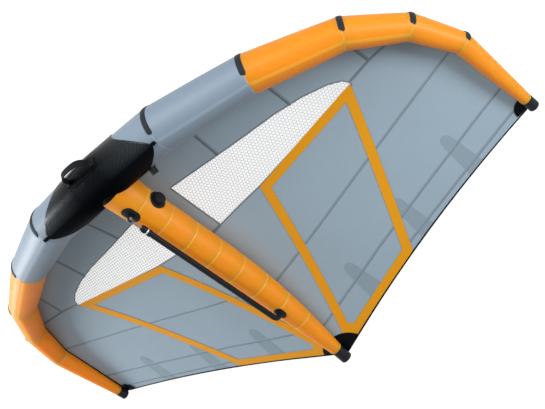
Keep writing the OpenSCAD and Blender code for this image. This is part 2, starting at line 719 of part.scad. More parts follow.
module boom_elbow() {
    color(black) on_boom() {
        translate([0, -boom_len, 0]) {
            translate([0, 24, 0]) rotate([90, 0, 0]) cylinder(h = 24.5, r = boom_dia / 2 - tube_wall - 0.1);
            translate([0, -0.2, -elbow_r]) rotate([90, 0, -90]) rotate_extrude(angle = 90)
                translate([elbow_r, 0]) circle(elbow_tube);
            translate([0, -elbow_r - 0.2, -hook_drop]) cylinder(h = hook_drop - elbow_r, r = elbow_tube);
            translate([0, -elbow_r - 0.2, -hook_drop - hook_len]) cylinder(h = hook_len + 1, r = hook_r);
        }
    }
}
// Middle of the hook, where the tilted boom puts it, and the top of the socket that it drops into
hook_y = pivot.y - (boom_len + elbow_r) * cos(boom_tilt) + (hook_drop + hook_len / 2) * sin(boom_tilt);
hook_top = pivot.z - (boom_len + elbow_r) * sin(boom_tilt) - hook_drop * cos(boom_tilt);
socket_panel = 7;
// Height of the socket's patch over the strut: it lies across a seam
socket_lift = 1;
module boom_socket() {
    clearance = 0.8;
    foot = 15;
    color(black) difference() {
        union() {
            intersection() {
                tube_cone(strut, strut_radii, socket_panel, socket_lift + patch_t);
                translate([0, hook_y - 6, 0]) linear_extrude(300) rounded(46, 66, 22);
            }
            translate([0, hook_y, hook_top - foot]) cylinder(h = foot - 1, r = hook_r + 7);
        }
        tube_cone(strut, strut_radii, socket_panel, socket_lift);
        translate([0, hook_y, hook_top - hook_len - 2]) cylinder(h = foot + 10, r = hook_r + clearance);
    }
}

for (side = ["right", "left"]) {
    for (i = [1 : 6]) lay() on_side(side) le_panel(i - 1);
    lay() on_side(side) tip_cap();
    lay() on_side(side) seam_pads();
    lay() on_side(side) canopy_nose();
    lay() on_side(side) window();
    lay() on_side(side) canopy_mid();
    lay() on_side(side) canopy_aft();
    lay() on_side(side) canopy_tail();
    lay() on_side(side) stripe();
}
for (i = [1 : 9]) lay() strut_panel(i - 1);
lay() le_bladder();
lay() strut_bladder();
lay() strut_cap();
lay() bumper();
lay() handle_base();
lay() handle_loop();
lay() canopy_strip();
lay() both_sides() seam_tapes();
lay() both_sides() fin_patches();
lay() both_sides() tail_tapes();
lay() both_sides() corner_patches();
lay() strut_valve_base();
lay() strut_valve_cap();
lay() le_valve_base();
lay() le_valve_cap();
lay() boom_patch();
lay() boom_lug();
lay() boom_pin();
lay() boom_fork();
lay() boom_adjuster();
lay() boom_tube();
lay() boom_elbow();
lay() boom_socket();
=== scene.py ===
"""Looks of an inflatable hand wing, laid on its back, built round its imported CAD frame. Lengths are in metres
in the scene and in materials, and in millimetres in the wing's own frame: X along the span, Y to the front,
Z to the strut's side."""

import bpy
import numpy as np
from mathutils import Matrix, Vector


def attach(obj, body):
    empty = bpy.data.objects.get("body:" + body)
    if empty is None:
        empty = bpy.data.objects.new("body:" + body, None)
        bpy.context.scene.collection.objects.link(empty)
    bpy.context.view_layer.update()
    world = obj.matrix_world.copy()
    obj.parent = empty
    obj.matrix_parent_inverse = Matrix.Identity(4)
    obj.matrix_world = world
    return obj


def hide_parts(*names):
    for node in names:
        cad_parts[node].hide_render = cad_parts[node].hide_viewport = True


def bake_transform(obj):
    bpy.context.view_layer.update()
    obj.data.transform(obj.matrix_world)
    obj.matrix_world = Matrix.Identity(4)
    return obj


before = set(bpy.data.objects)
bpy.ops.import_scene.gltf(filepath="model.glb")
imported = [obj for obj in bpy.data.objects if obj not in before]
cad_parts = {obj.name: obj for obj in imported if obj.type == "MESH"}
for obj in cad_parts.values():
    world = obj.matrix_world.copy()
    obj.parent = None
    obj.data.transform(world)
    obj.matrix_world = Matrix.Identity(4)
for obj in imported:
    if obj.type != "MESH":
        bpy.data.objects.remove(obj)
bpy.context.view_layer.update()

# Leading edge: an air tube of woven polyester, sewn of six cone panels on each side, two grey and four
# orange. Neighbouring cones touch the same ball, so their seams are flat. The cloth puckers along each seam,
# and a flat seam runs along the whole tube on the strut's side.
LE_BENDS = np.array([[0, 12, -12], [410, 0, -14], [832, -120, -106], [1211, -295, -190], [1404, -488, -240],
                     [1494, -705, -259], [1494, -1122, -260]], float)
LE_RADII = np.array([110, 106.15, 90.2, 72.05, 58.85, 47.96, 26])
MIDDLE_Y = -648.3
GREY_PANELS = 2
TUBE_COLUMNS = 144
TUBE_ROWS = 56
LONG_SEAM_ANGLE = np.radians(88)
LONG_SEAM_HALF = 9
LONG_SEAM_RIDGE = 0.4
# Columns across the long seam, in half widths of it
LONG_SEAM_COLUMNS = np.array([-1.25, -1.1, -1, -0.5, 0, 0.5, 1, 1.1, 1.25])
BULGE = 1.6
SEAM_DIP = 1.4
SEAM_DIP_W = 3.0
PUCKER = 0.55
PUCKER_W = 9
THREAD_PITCH = 0.003
STITCH_PITCH = 0.005
TAPE_HALF = 4.8
# Panels whose long seam takes the lighter seam colour, a painted highlight where light catches the raised seam
LIGHTER_SEAM_PANELS = 4
SIDES = (("right", 1), ("left", -1))


def unit(v):
    """A vector, or each of many, divided by its length."""
    return v / np.linalg.norm(v, axis=-1, keepdims=True)


def lay_angle():
    """Turn about X that lets the balls of bends 3 and 4 both touch level ground."""
    step = LE_BENDS[3] - LE_BENDS[4]
    return np.arcsin((LE_RADII[3] - LE_RADII[4]) / np.hypot(step[1], step[2])) - np.arctan2(step[2], step[1])


LAY = lay_angle()
LAY_TURN = np.array([[1, 0, 0], [0, np.cos(LAY), -np.sin(LAY)], [0, np.sin(LAY), np.cos(LAY)]])
GROUND_Z = (LAY_TURN @ LE_BENDS[3])[2] - LE_RADII[3]


def laid(points):
    """Points of the wing's own frame, in millimetres, turned and moved to the row frame, in metres."""
    return (np.asarray(points, float) @ LAY_TURN.T + [0, -MIDDLE_Y, -GROUND_Z]) / 1000


def linear(hex_colour):
    """An sRGB hex colour as linear red, green, blue and alpha."""
    srgb = np.array([int(hex_colour[i:i + 2], 16) for i in (1, 3, 5)]) / 255
    rgb = np.where(srgb <= 0.04045, srgb / 12.92, ((srgb + 0.055) / 1.055) ** 2.4)
    return (*rgb, 1.0)


def node(material, kind, links=(), **settings):
    """Adds a node of a kind, sets its properties, and sets or links the inputs named in links. Where a link
    gives a whole node, its first output is meant."""
    made = material.node_tree.nodes.new("ShaderNode" + kind)
    for name, value in settings.items():
        setattr(made, name, value)
    for name, value in dict(links).items():
        if isinstance(value, bpy.types.Node):
            value = value.outputs[0]
        if isinstance(value, bpy.types.NodeSocket):
            material.node_tree.links.new(value, made.inputs[name])
        else:
            made.inputs[name].default_value = value
    return made


def new_material(name):
    """A material with only an output node, and that node."""
    material = bpy.data.materials.new(name)
    material.use_nodes = True
    material.node_tree.nodes.clear()
    return material, node(material, "OutputMaterial")


def new_cloth(name):
    """A material, its output node, the piece's uv in metres, and the uv's two directions."""
    material, output = new_material(name)
    place = node(material, "UVMap", uv_map="uv")
    split = node(material, "SeparateXYZ", {"Vector": place})
    return material, output, place, split.outputs["X"], split.outputs["Y"]


def ribs(material, along, pitch):
    """A wave from -1 to 1 for every pitch of a distance along: its sine."""
    phase = node(material, "Math", {0: along, 1: 2 * np.pi / pitch}, operation="MULTIPLY")
    return node(material, "Math", {0: phase}, operation="SINE")


def per_metre(size):
    """A noise's scale, from the size in millimetres of what it stands for."""
    return 1000 / size


def uneven(material, colour, noise, low, high):
    """A colour that a noise makes darker and lighter, between two shares of its brightness."""
    shade = node(material, "MapRange", {"Value": noise, "To Min": low, "To Max": high})
    return node(material, "HueSaturation", {"Color": colour, "Value": shade})


def joined(material, shader, output):
    """The material, with a shader joined to its output."""
    material.node_tree.links.new(shader.outputs[0], output.inputs["Surface"])
    return material


def spread(*parts):
    """Rows, columns and grids of numbers, spread over one grid as the parts of its points."""
    return np.stack(np.broadcast_arrays(*parts), axis=-1)


def grid_piece(name, points, uv, material, wrap=False, flip=False, values=None):
    """A mesh over a grid of points. wrap joins the last column to the first, and uv then has one more column.
    flip turns the faces round, and values are numbers kept at the points under their names."""
    rows, columns = points.shape[:2]
    across = columns if wrap else columns - 1
    row = np.arange(rows - 1)[:, None]
    column = np.arange(across)[None, :]
    corners = [(0, 0), (0, 1), (1, 1), (1, 0)]
    if flip:
        corners = corners[::-1]
    quads = np.stack([(row + r) * columns + (column + c) % columns for r, c in corners], axis=-1).reshape(-1)
    uv_at = np.stack([(row + r) * uv.shape[1] + column + c for r, c in corners], axis=-1).reshape(-1)
    mesh = bpy.data.meshes.new(name)
    mesh.vertices.add(rows * columns)
    mesh.vertices.foreach_set("co", points.reshape(-1))
    mesh.loops.add(len(quads))
    mesh.loops.foreach_set("vertex_index", quads)
    mesh.polygons.add(len(quads) // 4)
    mesh.polygons.foreach_set("loop_start", np.arange(0, len(quads), 4))
    mesh.polygons.foreach_set("use_smooth", np.ones(len(quads) // 4, bool))
    mesh.uv_layers.new(name="uv").data.foreach_set("uv", uv.reshape(-1, 2)[uv_at].reshape(-1))
    for key, number in (values or {}).items():
        kept = mesh.attributes.new(key, "FLOAT", "POINT").data
        kept.foreach_set("value", number.reshape(-1).astype(np.float32))
    mesh.update()
    mesh.validate()
    mesh.materials.append(material)
    piece = bpy.data.objects.new(name, mesh)
    bpy.context.scene.collection.objects.link(piece)
    return piece


def tube_axes(bends, i):
    """Start, axis, front and upper direction of panel i, and its length."""
    step = bends[i + 1] - bends[i]
    axis = unit(step)
    upper = unit(np.array([0, 0, 1.0]) - axis[2] * axis)
    return bends[i], axis, np.cross(upper, axis), upper, np.linalg.norm(step)


def slant(bends, radii, i):
    """Half angle of cone panel i."""
    return np.arcsin((radii[i] - radii[i + 1]) / np.linalg.norm(bends[i + 1] - bends[i]))


def seam_plane(bends, radii, i, first):
    """Unit normal of the seam at bend i and its distance ahead of the bend's centre."""
    last = len(bends) - 1
    if i == 0 or i == last:
        return (first if i == 0 else unit(bends[last] - bends[last - 1])), 0.0
    before = slant(bends, radii, i - 1)
    after = slant(bends, radii, i)
    normal = unit(bends[i] - bends[i - 1]) / np.cos(before) + unit(bends[i + 1] - bends[i]) / np.cos(after)
    return unit(normal), radii[i] * (np.tan(before) + np.tan(after)) / np.linalg.norm(normal)


def panel_ends(bends, radii, i, angles, first):
    """Where each straight line of cone panel i starts and stops, as distances along its axis."""
    _, axis, front, upper, length = tube_axes(bends, i)
    a = slant(bends, radii, i)
    way = np.cos(angles)[:, None] * front + np.sin(angles)[:, None] * upper
    ends = []
    for k, offset in ((i, 0.0), (i + 1, length)):
        normal, shift = seam_plane(bends, radii, k, first)
        lean = way @ normal
        ends.append((shift + offset * (axis @ normal) - radii[i] / np.cos(a) * lean)
                    / (axis @ normal - np.tan(a) * lean))
    return ends


def panel_points(bends, radii, i, angles, along, lift):
    """Points of cone panel i at angles round it and distances along its axis, lift off its surface."""
    start, axis, front, upper, _ = tube_axes(bends, i)
    a = slant(bends, radii, i)
    way = np.cos(angles)[:, None] * front + np.sin(angles)[:, None] * upper
    radius = radii[i] / np.cos(a) - along * np.tan(a) + lift
    return start + along[..., None] * axis + radius[..., None] * way


def seam_puckers(angles):
    """Uneven folds round a seam: a sum of three waves."""
    return 0.5 * np.sin(29 * angles + 1) + 0.35 * np.sin(47 * angles + 2.2) + 0.3 * np.sin(71 * angles + 0.7)


def inflated_panel(bends, radii, i, angles, first, ridge=0):
    """Panel i blown up: it bulges between its seams, dips into them and puckers beside them.
    Gives points, uv in metres, and the distance of each point from the nearer seam."""
    begin, finish = panel_ends(bends, radii, i, angles, first)
    share = 0.5 - 0.5 * np.cos(np.linspace(0, np.pi, TUBE_ROWS))
    along = begin + (finish - begin) * share[:, None]
    gap = np.minimum(share, 1 - share)[:, None] * (finish - begin)
    scale = radii[i] / LE_RADII[0]
    lift = BULGE * scale * np.sin(np.pi * share)[:, None] - SEAM_DIP * np.exp(-(gap / SEAM_DIP_W) ** 2)
    beside = gap / PUCKER_W * np.exp(1 - gap / PUCKER_W)
    lift = lift + PUCKER * scale * beside * seam_puckers(angles) + ridge
    points = panel_points(bends, radii, i, angles, along, lift)
    round_way = np.append(angles, angles[0] + 2 * np.pi) * radii[i] / 1000
    uv = spread(round_way, np.append(along, along[:, :1], axis=1) / 1000)
    return points, uv, gap / 1000


def tube_cloth(name, colour, seam_tape_and_highlight_colour, glow):
    """Woven polyester with a coat: a satin face, a fine cross weave, and a stitched tape at the seams. The
    tape's lighter colour is partly its own and partly a painted highlight of the raised seam.
    Threads of 0.5 mm can't show, so the weave is drawn at 3 mm. glow is the share of light that goes through
    the cloth and comes out beside, red light the furthest."""
    material, output, place, round_tube, along = new_cloth(name)
    wide = node(material, "TexNoise", {"Vector": place, "Scale": per_metre(200), "Detail": 3.0})
    weft = ribs(material, round_tube, THREAD_PITCH)
    warp = ribs(material, along, THREAD_PITCH)
    threads = node(material, "Math", {0: weft, 1: warp}, operation="MULTIPLY")
    gap = node(material, "Attribute", attribute_name="seam_gap").outputs["Fac"]
    on_tape = node(material, "MapRange", {"Value": gap, "From Min": (TAPE_HALF + 0.4) / 1000,
                   "From Max": (TAPE_HALF - 0.4) / 1000})
    stitch = ribs(material, round_tube, STITCH_PITCH)
    # The lighter seam colour is partly the tape's own and partly a painted highlight of the raised seam
    base = node(material, "Mix", {0: on_tape, 6: linear(colour), 7: linear(seam_tape_and_highlight_colour)}, data_type="RGBA")
    tint = uneven(material, base.outputs[2], wide, 0.95, 1.04)
    taped = node(material, "Math", {0: stitch, 1: on_tape}, operation="MULTIPLY")
    height = node(material, "Math", {0: taped, 1: 0.5, 2: threads}, operation="MULTIPLY_ADD")
    bump = node(material, "Bump", {"Height": height, "Strength": 0.12, "Distance": 0.0006})
    skin = node(material, "BsdfPrincipled", {"Base Color": tint, "Roughness": 0.44,
                "Specular IOR Level": 0.34, "Normal": bump, "Subsurface Weight": glow,
                "Subsurface Radius": (1.0, 0.15, 0.03), "Subsurface Scale": 0.25})
    return joined(material, skin, output)


def wing_piece(piece, slot, *nodes):
    """The piece rides on the wing and stands for CAD nodes, which it hides. slot is not used."""
    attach(piece, "wing")
    if nodes:
        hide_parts(*nodes)
    return piece


GREY_TUBE = tube_cloth("coated_polyester_grey", "#8091a1", "#8d9dac", 0.0)
ORANGE_TUBE = tube_cloth("coated_polyester_orange", "#f2900d", "#f3a52c", 0.6)
MID_PLANE = np.array([1.0, 0, 0])
MIRROR = {1: np.array([1, 1, 1]), -1: np.array([-1, 1, 1])}


def le_angles(radius):
    """Angles round a panel: even ones, with more of them across the long seam."""
    even = np.linspace(-np.pi, np.pi, TUBE_COLUMNS, endpoint=False)
    half = LONG_SEAM_HALF / radius
    clear = even[np.abs(even - LONG_SEAM_ANGLE) > 1.4 * half]
    return np.sort(np.concatenate([clear, LONG_SEAM_ANGLE + LONG_SEAM_COLUMNS * half]))


for side, sign in SIDES:
    for i in range(len(LE_BENDS) - 1):
        angles = le_angles(LE_RADII[i])
        off_seam = np.abs(angles - LONG_SEAM_ANGLE) * LE_RADII[i]
        ridge = LONG_SEAM_RIDGE * np.clip((1.2 - off_seam / LONG_SEAM_HALF) / 0.2, 0, 1)
        points, uv, gap = inflated_panel(LE_BENDS, LE_RADII, i, angles, MID_PLANE, ridge)
        name = f"le_panel_{i + 1}_{side}"
        cloth = GREY_TUBE if i < GREY_PANELS else ORANGE_TUBE
        # On these panels the long seam takes the lighter seam colour too: a painted highlight of the raised
        # seam
        if i < LIGHTER_SEAM_PANELS:
            gap = np.minimum(gap, (off_seam - LONG_SEAM_HALF + TAPE_HALF) / 1000)
        piece = grid_piece(name + "_cloth", laid(points * MIRROR[sign]), uv, cloth, wrap=True, flip=sign < 0,
                           values={"seam_gap": gap})
        wing_piece(piece, "tube_grey" if i < GREY_PANELS else "tube_orange", name)

# Strut: a second air tube of the same orange cloth, nine cone panels along the middle, tapering and bending
# up to its end. Its first panel is cut to the leading edge and sewn to it.
STRUT_CLOTH = tube_cloth("coated_polyester_strut", "#f2930e", "#f7ab33", 0.4)
CENTRE = 1450
STRUT_RISE = 75
STRUT_BENDS_FROM = 0.55
STRUT_FRONT_D = 176
STRUT_TAPER = 114
STRUT_FLARE = 7
STRUT_AT = np.concatenate([[0], 0.13 + 0.1 * np.arange(8), [1]])


def strut_z(s):
    """Height of the strut's axis at a share s of its length."""
    return STRUT_RISE * np.maximum(0, (s - STRUT_BENDS_FROM) / (1 - STRUT_BENDS_FROM)) ** 1.6


def strut_r(s):
    """Radius of the strut at a share s of its length: a cubic taper with a flare at the front."""
    return (STRUT_FRONT_D - STRUT_TAPER * s ** 3) / 2 + STRUT_FLARE * (1 - s) ** 16


STRUT = np.stack([0 * STRUT_AT, -CENTRE * STRUT_AT, strut_z(STRUT_AT)], axis=1)
STRUT_RADII = strut_r(STRUT_AT)
AFT = np.array([0, -1.0, 0])
for i in range(len(STRUT) - 1):
    angles = np.linspace(-np.pi, np.pi, TUBE_COLUMNS, endpoint=False)
    points, uv, gap = inflated_panel(STRUT, STRUT_RADII, i, angles, AFT)
    name = f"strut_panel_{i + 1}"
    piece = grid_piece(name + "_cloth", laid(points), uv, STRUT_CLOTH, wrap=True, values={"seam_gap": gap})
    wing_piece(piece, "tube_orange", name)

# Pads: black oblong patches of rubber coated cloth, bonded over the outer side of every bend, where the tube
# would chafe on the ground. One half of each lies on either panel.
PAD_HALF_W = 13.5
PAD_ANGLE = np.radians(4)
PAD_T = 2.2
# Half the length of a pad, as an angle
PAD_REACH = 1.08
# Part cut off the upper end of each pad, as an angle, so that those near the tips are shorter
PAD_CUT = np.radians([0, 0, 7, 17, 22, 34])


def coated_cloth(name, colour, rough, pitch, relief, shines=(0.04, 0.26), dim_middle=0.0, dull_from=9.0):
    """Cloth with a rubbery coat: dark, half dull, with a twill weave showing through the coat. Its
    reflections are tinted blue, a painted reflection of cool surroundings.
    The twill's ribs are drawn at the pitch given, coarser than real ones, so that they show. They shine less
    in the middle of uv's first direction, a painted highlight that leaves only the ends bright, and less past
    dull_from along its second."""
    material, output, place, first, second = new_cloth(name)
    slope = node(material, "Math", {0: first, 1: second}, operation="ADD")
    rib = ribs(material, slope, pitch)
    cloud = node(material, "TexNoise", {"Vector": place, "Scale": per_metre(45.5), "Detail": 4.0})
    worn = node(material, "MapRange", {"Value": cloud, "To Min": rough - 0.06, "To Max": rough + 0.08})
    tint = uneven(material, linear(colour), cloud, 0.8, 1.25)
    bump = node(material, "Bump", {"Height": rib, "Strength": relief, "Distance": 0.0008})
    shine = node(material, "MapRange", {"Value": rib, "From Min": -1.0, "To Min": shines[0],
                 "To Max": shines[1]})
    # Shine raised from the middle of the span towards its ends: a painted highlight
    from_middle = node(material, "Math", {0: first}, operation="ABSOLUTE")
    painted_highlight_ends = node(material, "MapRange", {"Value": from_middle, "From Min": dim_middle - 0.25, "From Max": dim_middle,
                "To Min": 0.1, "To Max": 1.0})
    dulled = node(material, "MapRange", {"Value": second, "From Min": dull_from - 0.03,
                  "From Max": dull_from + 0.005, "To Min": 1.0, "To Max": 0.05})
    shine = node(material, "Math", {0: shine, 1: painted_highlight_ends}, operation="MULTIPLY")
    shine = node(material, "Math", {0: shine, 1: dulled}, operation="MULTIPLY")
    # The bluish specular tint is a painted reflection of cool surroundings
    skin = node(material, "BsdfPrincipled", {"Base Color": tint, "Roughness": worn,
                "Specular IOR Level": shine, "Specular Tint": linear("#d9e8f2"),
                "Normal": bump})
    return joined(material, skin, output)


PAD_CLOTH = coated_cloth("rubber_coated_cloth", "#23292d", 0.5, 0.004, 0.15)


def bend_pad(i, sign):
    """Oblong patch over bend i: rows run round the tube and columns across its seam, half on each panel.
    The ends are half round and the rim is drawn down to the cloth."""
    half = (PAD_REACH - PAD_CUT[i] / 2) * LE_RADII[i]
    run = half * np.sin(np.linspace(-np.pi / 2, np.pi / 2, 61))
    cut = np.maximum(0, np.abs(run) - (half - PAD_HALF_W))
    width = np.sqrt(np.maximum(PAD_HALF_W ** 2 - cut ** 2, 0.01))
    angles = PAD_ANGLE - PAD_CUT[i] / 2 + run / LE_RADII[i]
    across = np.array([-1, -0.97, -0.85, -0.5, -0.02, 0.02, 0.5, 0.85, 0.97, 1])
    halves = []
    for panel, columns in ((i - 1, across[across < 0]), (i, across[across > 0])):
        ends = panel_ends(LE_BENDS, LE_RADII, panel, angles, MID_PLANE)
        at_seam = ends[1] if panel < i else ends[0]
        along = at_seam + columns[:, None] * width
        rim = np.minimum(PAD_HALF_W * (1 - np.abs(columns[:, None])), half - np.abs(run)) / 1.5
        lift = 0.2 + PAD_T * np.clip(rim, 0, 1)
        halves.append(panel_points(LE_BENDS, LE_RADII, panel, angles, along, lift))
    points = np.concatenate(halves)
    uv = spread(run / 1000, across[:, None] * width / 1000)
    return laid(points * MIRROR[sign]), uv


for side, sign in SIDES:
    pads = [grid_piece(f"bend_pad_{i}_{side}", *bend_pad(i, sign), PAD_CLOTH, flip=sign < 0)
            for i in range(1, len(LE_BENDS) - 1)]
    for pad in pads:
        wing_piece(pad, "black_patch", f"seam_pads_{side}")

# Bumper: a padded cover of coated cloth over the middle of the leading edge, sewn of two halves along a
# crease that ends in a tab on each side. Behind, a collar of the same cloth laps onto the strut's front.
BUMPER_ANGLES = np.radians([-24, 0, 20, 45, 70, 85, 98, 110, 125, 140, 154])
BUMPER_REACH = 402.0
BUMPER_HALF = BUMPER_REACH * np.array([0.5, 0.535, 0.63, 0.795, 0.935, 1, 0.965, 0.885, 0.79, 0.67, 0.5])
CREASE_ANGLE = np.radians(86)
CREASE_DEPTH = 2.6
CREASE_W = 4
BUMPER_T = 4.6
BUMPER_CROWN = 2.5
TAB_SIZE = (40, 18, 7)
COLLAR_REACH = np.radians(108)
COLLAR_T = 2.6
COLLAR_TURN = np.radians([0, 20, 31, 52, 75, 90, 110])
COLLAR_Y = np.array([-59, -64, -70, -96, -112, -108, -98.0])
# The bumper's shine is low in the middle of the span and full at its ends, a painted highlight
BUMPER_CLOTH = coated_cloth("bumper_coated_twill", "#06080b", 0.27, 0.009, 0.1, (0.02, 0.85), dim_middle=0.34,
                            dull_from=CREASE_ANGLE * LE_RADII[0] / 1000)
NOSE_RUN = unit(LE_BENDS[1] - LE_BENDS[0])[0]


def on_nose(x, angles, lift):
    """Points of the leading edge's middle at spans x and angles round it, lift off its cloth."""
    points = panel_points(LE_BENDS, LE_RADII, 0, angles, np.abs(x) / NOSE_RUN, lift)
    return points * np.where(x < 0, -1, 1)[..., None] ** np.array([1, 0, 0])


def bumper_grid():
    """Rows run along the span and columns round the tube. The cover is thick inside its rim, thin at its
    rim, and drawn in along the crease."""
    angles = np.linspace(BUMPER_ANGLES[0], BUMPER_ANGLES[-1], 121)
    half = np.interp(angles, BUMPER_ANGLES, BUMPER_HALF)
    half = np.convolve(np.pad(half, 8, mode="edge"), np.ones(17) / 17, mode="valid")
    u = np.sin(np.linspace(-np.pi / 2, np.pi / 2, 161))[:, None]
    x = u * half
    to_end = np.minimum(angles - angles[0], angles[-1] - angles)
    rim = np.minimum((1 - np.abs(u)) * half, LE_RADII[0] * to_end)
    crease = np.exp(-((angles - CREASE_ANGLE) * LE_RADII[0] / CREASE_W) ** 2) * (rim > 0)
    lift = 0.4 + BUMPER_T * (1 - np.exp(-rim / 3)) + BUMPER_CROWN * (1 - np.exp(-rim / 60))
    lift = lift - CREASE_DEPTH * crease
    points = on_nose(x, angles, lift)
    uv = spread(x / 1000, angles * LE_RADII[0] / 1000)
    return laid(points), uv


bumper = grid_piece("bumper_cover", *bumper_grid(), BUMPER_CLOTH, flip=True)
wing_piece(bumper, "bumper_cover", "bumper")


def collar_grid():
    """Rows run along the strut and columns round it, from inside the leading edge to the collar's edge."""
    turn = np.linspace(-COLLAR_REACH, COLLAR_REACH, 97)
    edge = np.interp(np.abs(turn), COLLAR_TURN, COLLAR_Y)
    edge = np.convolve(np.pad(edge, 5, mode="edge"), np.ones(11) / 11, mode="valid")
    share = np.array([0, 0.3, 0.6, 0.8, 0.95, 0.99, 1.0])[:, None]
    y = share * edge
    radius = strut_r(-y / CENTRE) + np.where(share < 1, COLLAR_T, 0.6)
    points = spread(radius * np.sin(turn), y, radius * np.cos(turn))
    uv = spread(turn * 0.09, y / 1000)
    return laid(points), uv


collar = grid_piece("bumper_collar", *collar_grid(), BUMPER_CLOTH)
wing_piece(collar, "bumper_cover")


def signed_power(v, power):
    """v with its size raised to a power and its sign kept, which squares off an ellipse."""
    return np.sign(v) * np.abs(v) ** power


def soft_block(centre, axes, sizes, steps=20):
    """A block with round edges: a super-ellipsoid of power 4 on three axes, in the wing's frame."""
    t = np.linspace(-np.pi / 2, np.pi / 2, steps)[:, None]
    p = np.linspace(-np.pi, np.pi, 2 * steps, endpoint=False)[None, :]
    ball = spread(np.cos(t) * np.cos(p), np.cos(t) * np.sin(p), np.sin(t))
    points = centre + (signed_power(ball, 0.5) * np.asarray(sizes) / 2) @ np.asarray(axes)
    uv = spread(np.linspace(0, 0.1, 2 * steps + 1), t / 20)
    return laid(points), uv


for side, sign in SIDES:
    tab_at = on_nose(np.array([[sign * BUMPER_REACH]]), np.array([CREASE_ANGLE]), np.array([[4.0]]))[0, 0]
    tab_out = np.array([0, np.cos(CREASE_ANGLE), np.sin(CREASE_ANGLE)])
    tab_axes = [[1, 0, 0], np.cross(tab_out, [1, 0, 0]), tab_out]
    tab_grid = soft_block(tab_at, tab_axes, TAB_SIZE)
    tab = grid_piece(f"bumper_tab_{side}", *tab_grid, BUMPER_CLOTH, wrap=True)
    wing_piece(tab, "bumper_cover")

# Handle: a loop of padded webbing that stands off the bumper, on a base patch of the bumper's cloth.
# Its flat ends are sewn to the base.
HANDLE_ANGLE = np.radians(28)
WEBBING_W = 32
WEBBING_T = 4.6
RIB_PITCH = 0.004
HANDLE_OUT = np.array([0, np.cos(HANDLE_ANGLE), np.sin(HANDLE_ANGLE)])
HANDLE_ACROSS = np.array([0, -np.sin(HANDLE_ANGLE), np.cos(HANDLE_ANGLE)])
HANDLE_X = np.array([103, 94, 86, 80, 76.5, 75, 70, 58, 36, 0])
HANDLE_R = np.array([114.6, 115.2, 116.4, 119.5, 127, 141, 160, 174, 182.5, 184.6])
PATCH_HALF = (108, 38)
# The rim of the base patch: shares of its half width, and height there
PIPING = np.array([[0.92, 0.935, 0.95, 0.965, 0.98, 0.99, 1.0], [9.0, 10.4, 11.2, 11.4, 11.0, 9.6, 6.4]])


def patch_grid():
    """Rounded patch, a super-ellipse of power 4 drawn as rings from its middle to its rim."""
    turn = np.linspace(-np.pi, np.pi, 96, endpoint=False)
    ring = np.concatenate([[0.02], np.linspace(0.1, 0.9, 14), PIPING[0]])[:, None]
    x = ring * PATCH_HALF[0] * signed_power(np.cos(turn), 0.5)
    arc = ring * PATCH_HALF[1] * signed_power(np.sin(turn), 0.5)
    angle = HANDLE_ANGLE + arc / LE_RADII[0]
    lift = np.interp(ring, *PIPING, left=9.0) + 0 * x
    start, axis, front, upper, _ = tube_axes(LE_BENDS, 0)
    radius = LE_RADII[0] - np.abs(x) * np.tan(slant(LE_BENDS, LE_RADII, 0)) + lift
    way = np.cos(angle)[..., None] * front + np.sin(angle)[..., None] * upper
    points = start + np.abs(x)[..., None] * axis / NOSE_RUN + radius[..., None] * way
    points[..., 0] = x
    flat = np.stack([x, arc], axis=-1) / 1000
    return laid(points), np.concatenate([flat, flat[:, :1]], axis=1)


handle_base = grid_piece("handle_base_patch", *patch_grid(), BUMPER_CLOTH, wrap=True)
wing_piece(handle_base, "bumper_cover", "handle_base")


def webbing(name):
    """Padded webbing of woven polyester: dull black, with ribs across the strap and a fuzz of fibres."""
    material, output, place, _, along = new_cloth(name)
    rib = ribs(material, along, RIB_PITCH)
    fibre = node(material, "TexNoise", {"Vector": place, "Scale": per_metre(2.5), "Detail": 3.0})
    height = node(material, "Math", {0: fibre, 1: 0.6, 2: rib}, operation="MULTIPLY_ADD")
    bump = node(material, "Bump", {"Height": height, "Strength": 0.4, "Distance": 0.0006})
    tint = uneven(material, linear("#0e1113"), fibre, 0.75, 1.3)
    skin = node(material, "BsdfPrincipled", {"Base Color": tint, "Roughness": 0.6,
                "Specular IOR Level": 0.1, "Normal": bump})
    return joined(material, skin, output)


def run_length(path):
    """Distance along a path at each of its points."""
    return np.concatenate([[0], np.cumsum(np.linalg.norm(np.diff(path, axis=0), axis=1))])


def strap_grid(path, across, width, thick):
    """A strap with a rounded oblong section carried along a path; its width lies along one direction."""
    way = unit(np.gradient(path, axis=0))
    normal = np.cross(across, way)
    turn = np.linspace(-np.pi, np.pi, 28, endpoint=False)
    flat = signed_power(np.cos(turn), 0.35) * width / 2
    rise = signed_power(np.sin(turn), 0.6) * thick / 2
    points = path[:, None] + flat[:, None] * across + rise[:, None] * normal[:, None]
    uv = spread(np.append(flat, flat[0]), run_length(path)[:, None]) / 1000
    return points, uv


def smooth(values, count):
    """A row of values drawn finer, then evened out."""
    drawn = np.interp(np.linspace(0, len(values) - 1, count), np.arange(len(values)), values)
    return np.convolve(np.pad(drawn, 5, mode="reflect", reflect_type="odd"), np.ones(11) / 11, mode="valid")


loop_x = np.concatenate([-HANDLE_X, HANDLE_X[-2::-1]])
loop_r = np.concatenate([HANDLE_R, HANDLE_R[-2::-1]])
loop_path = LE_BENDS[0] + smooth(loop_x, 161)[:, None] * MID_PLANE + smooth(loop_r, 161)[:, None] * HANDLE_OUT
loop_points, loop_uv = strap_grid(loop_path, HANDLE_ACROSS, WEBBING_W, WEBBING_T)
handle = grid_piece("handle_webbing", laid(loop_points), loop_uv, webbing("padded_webbing"), wrap=True)
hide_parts("handle_loop")
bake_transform(handle)

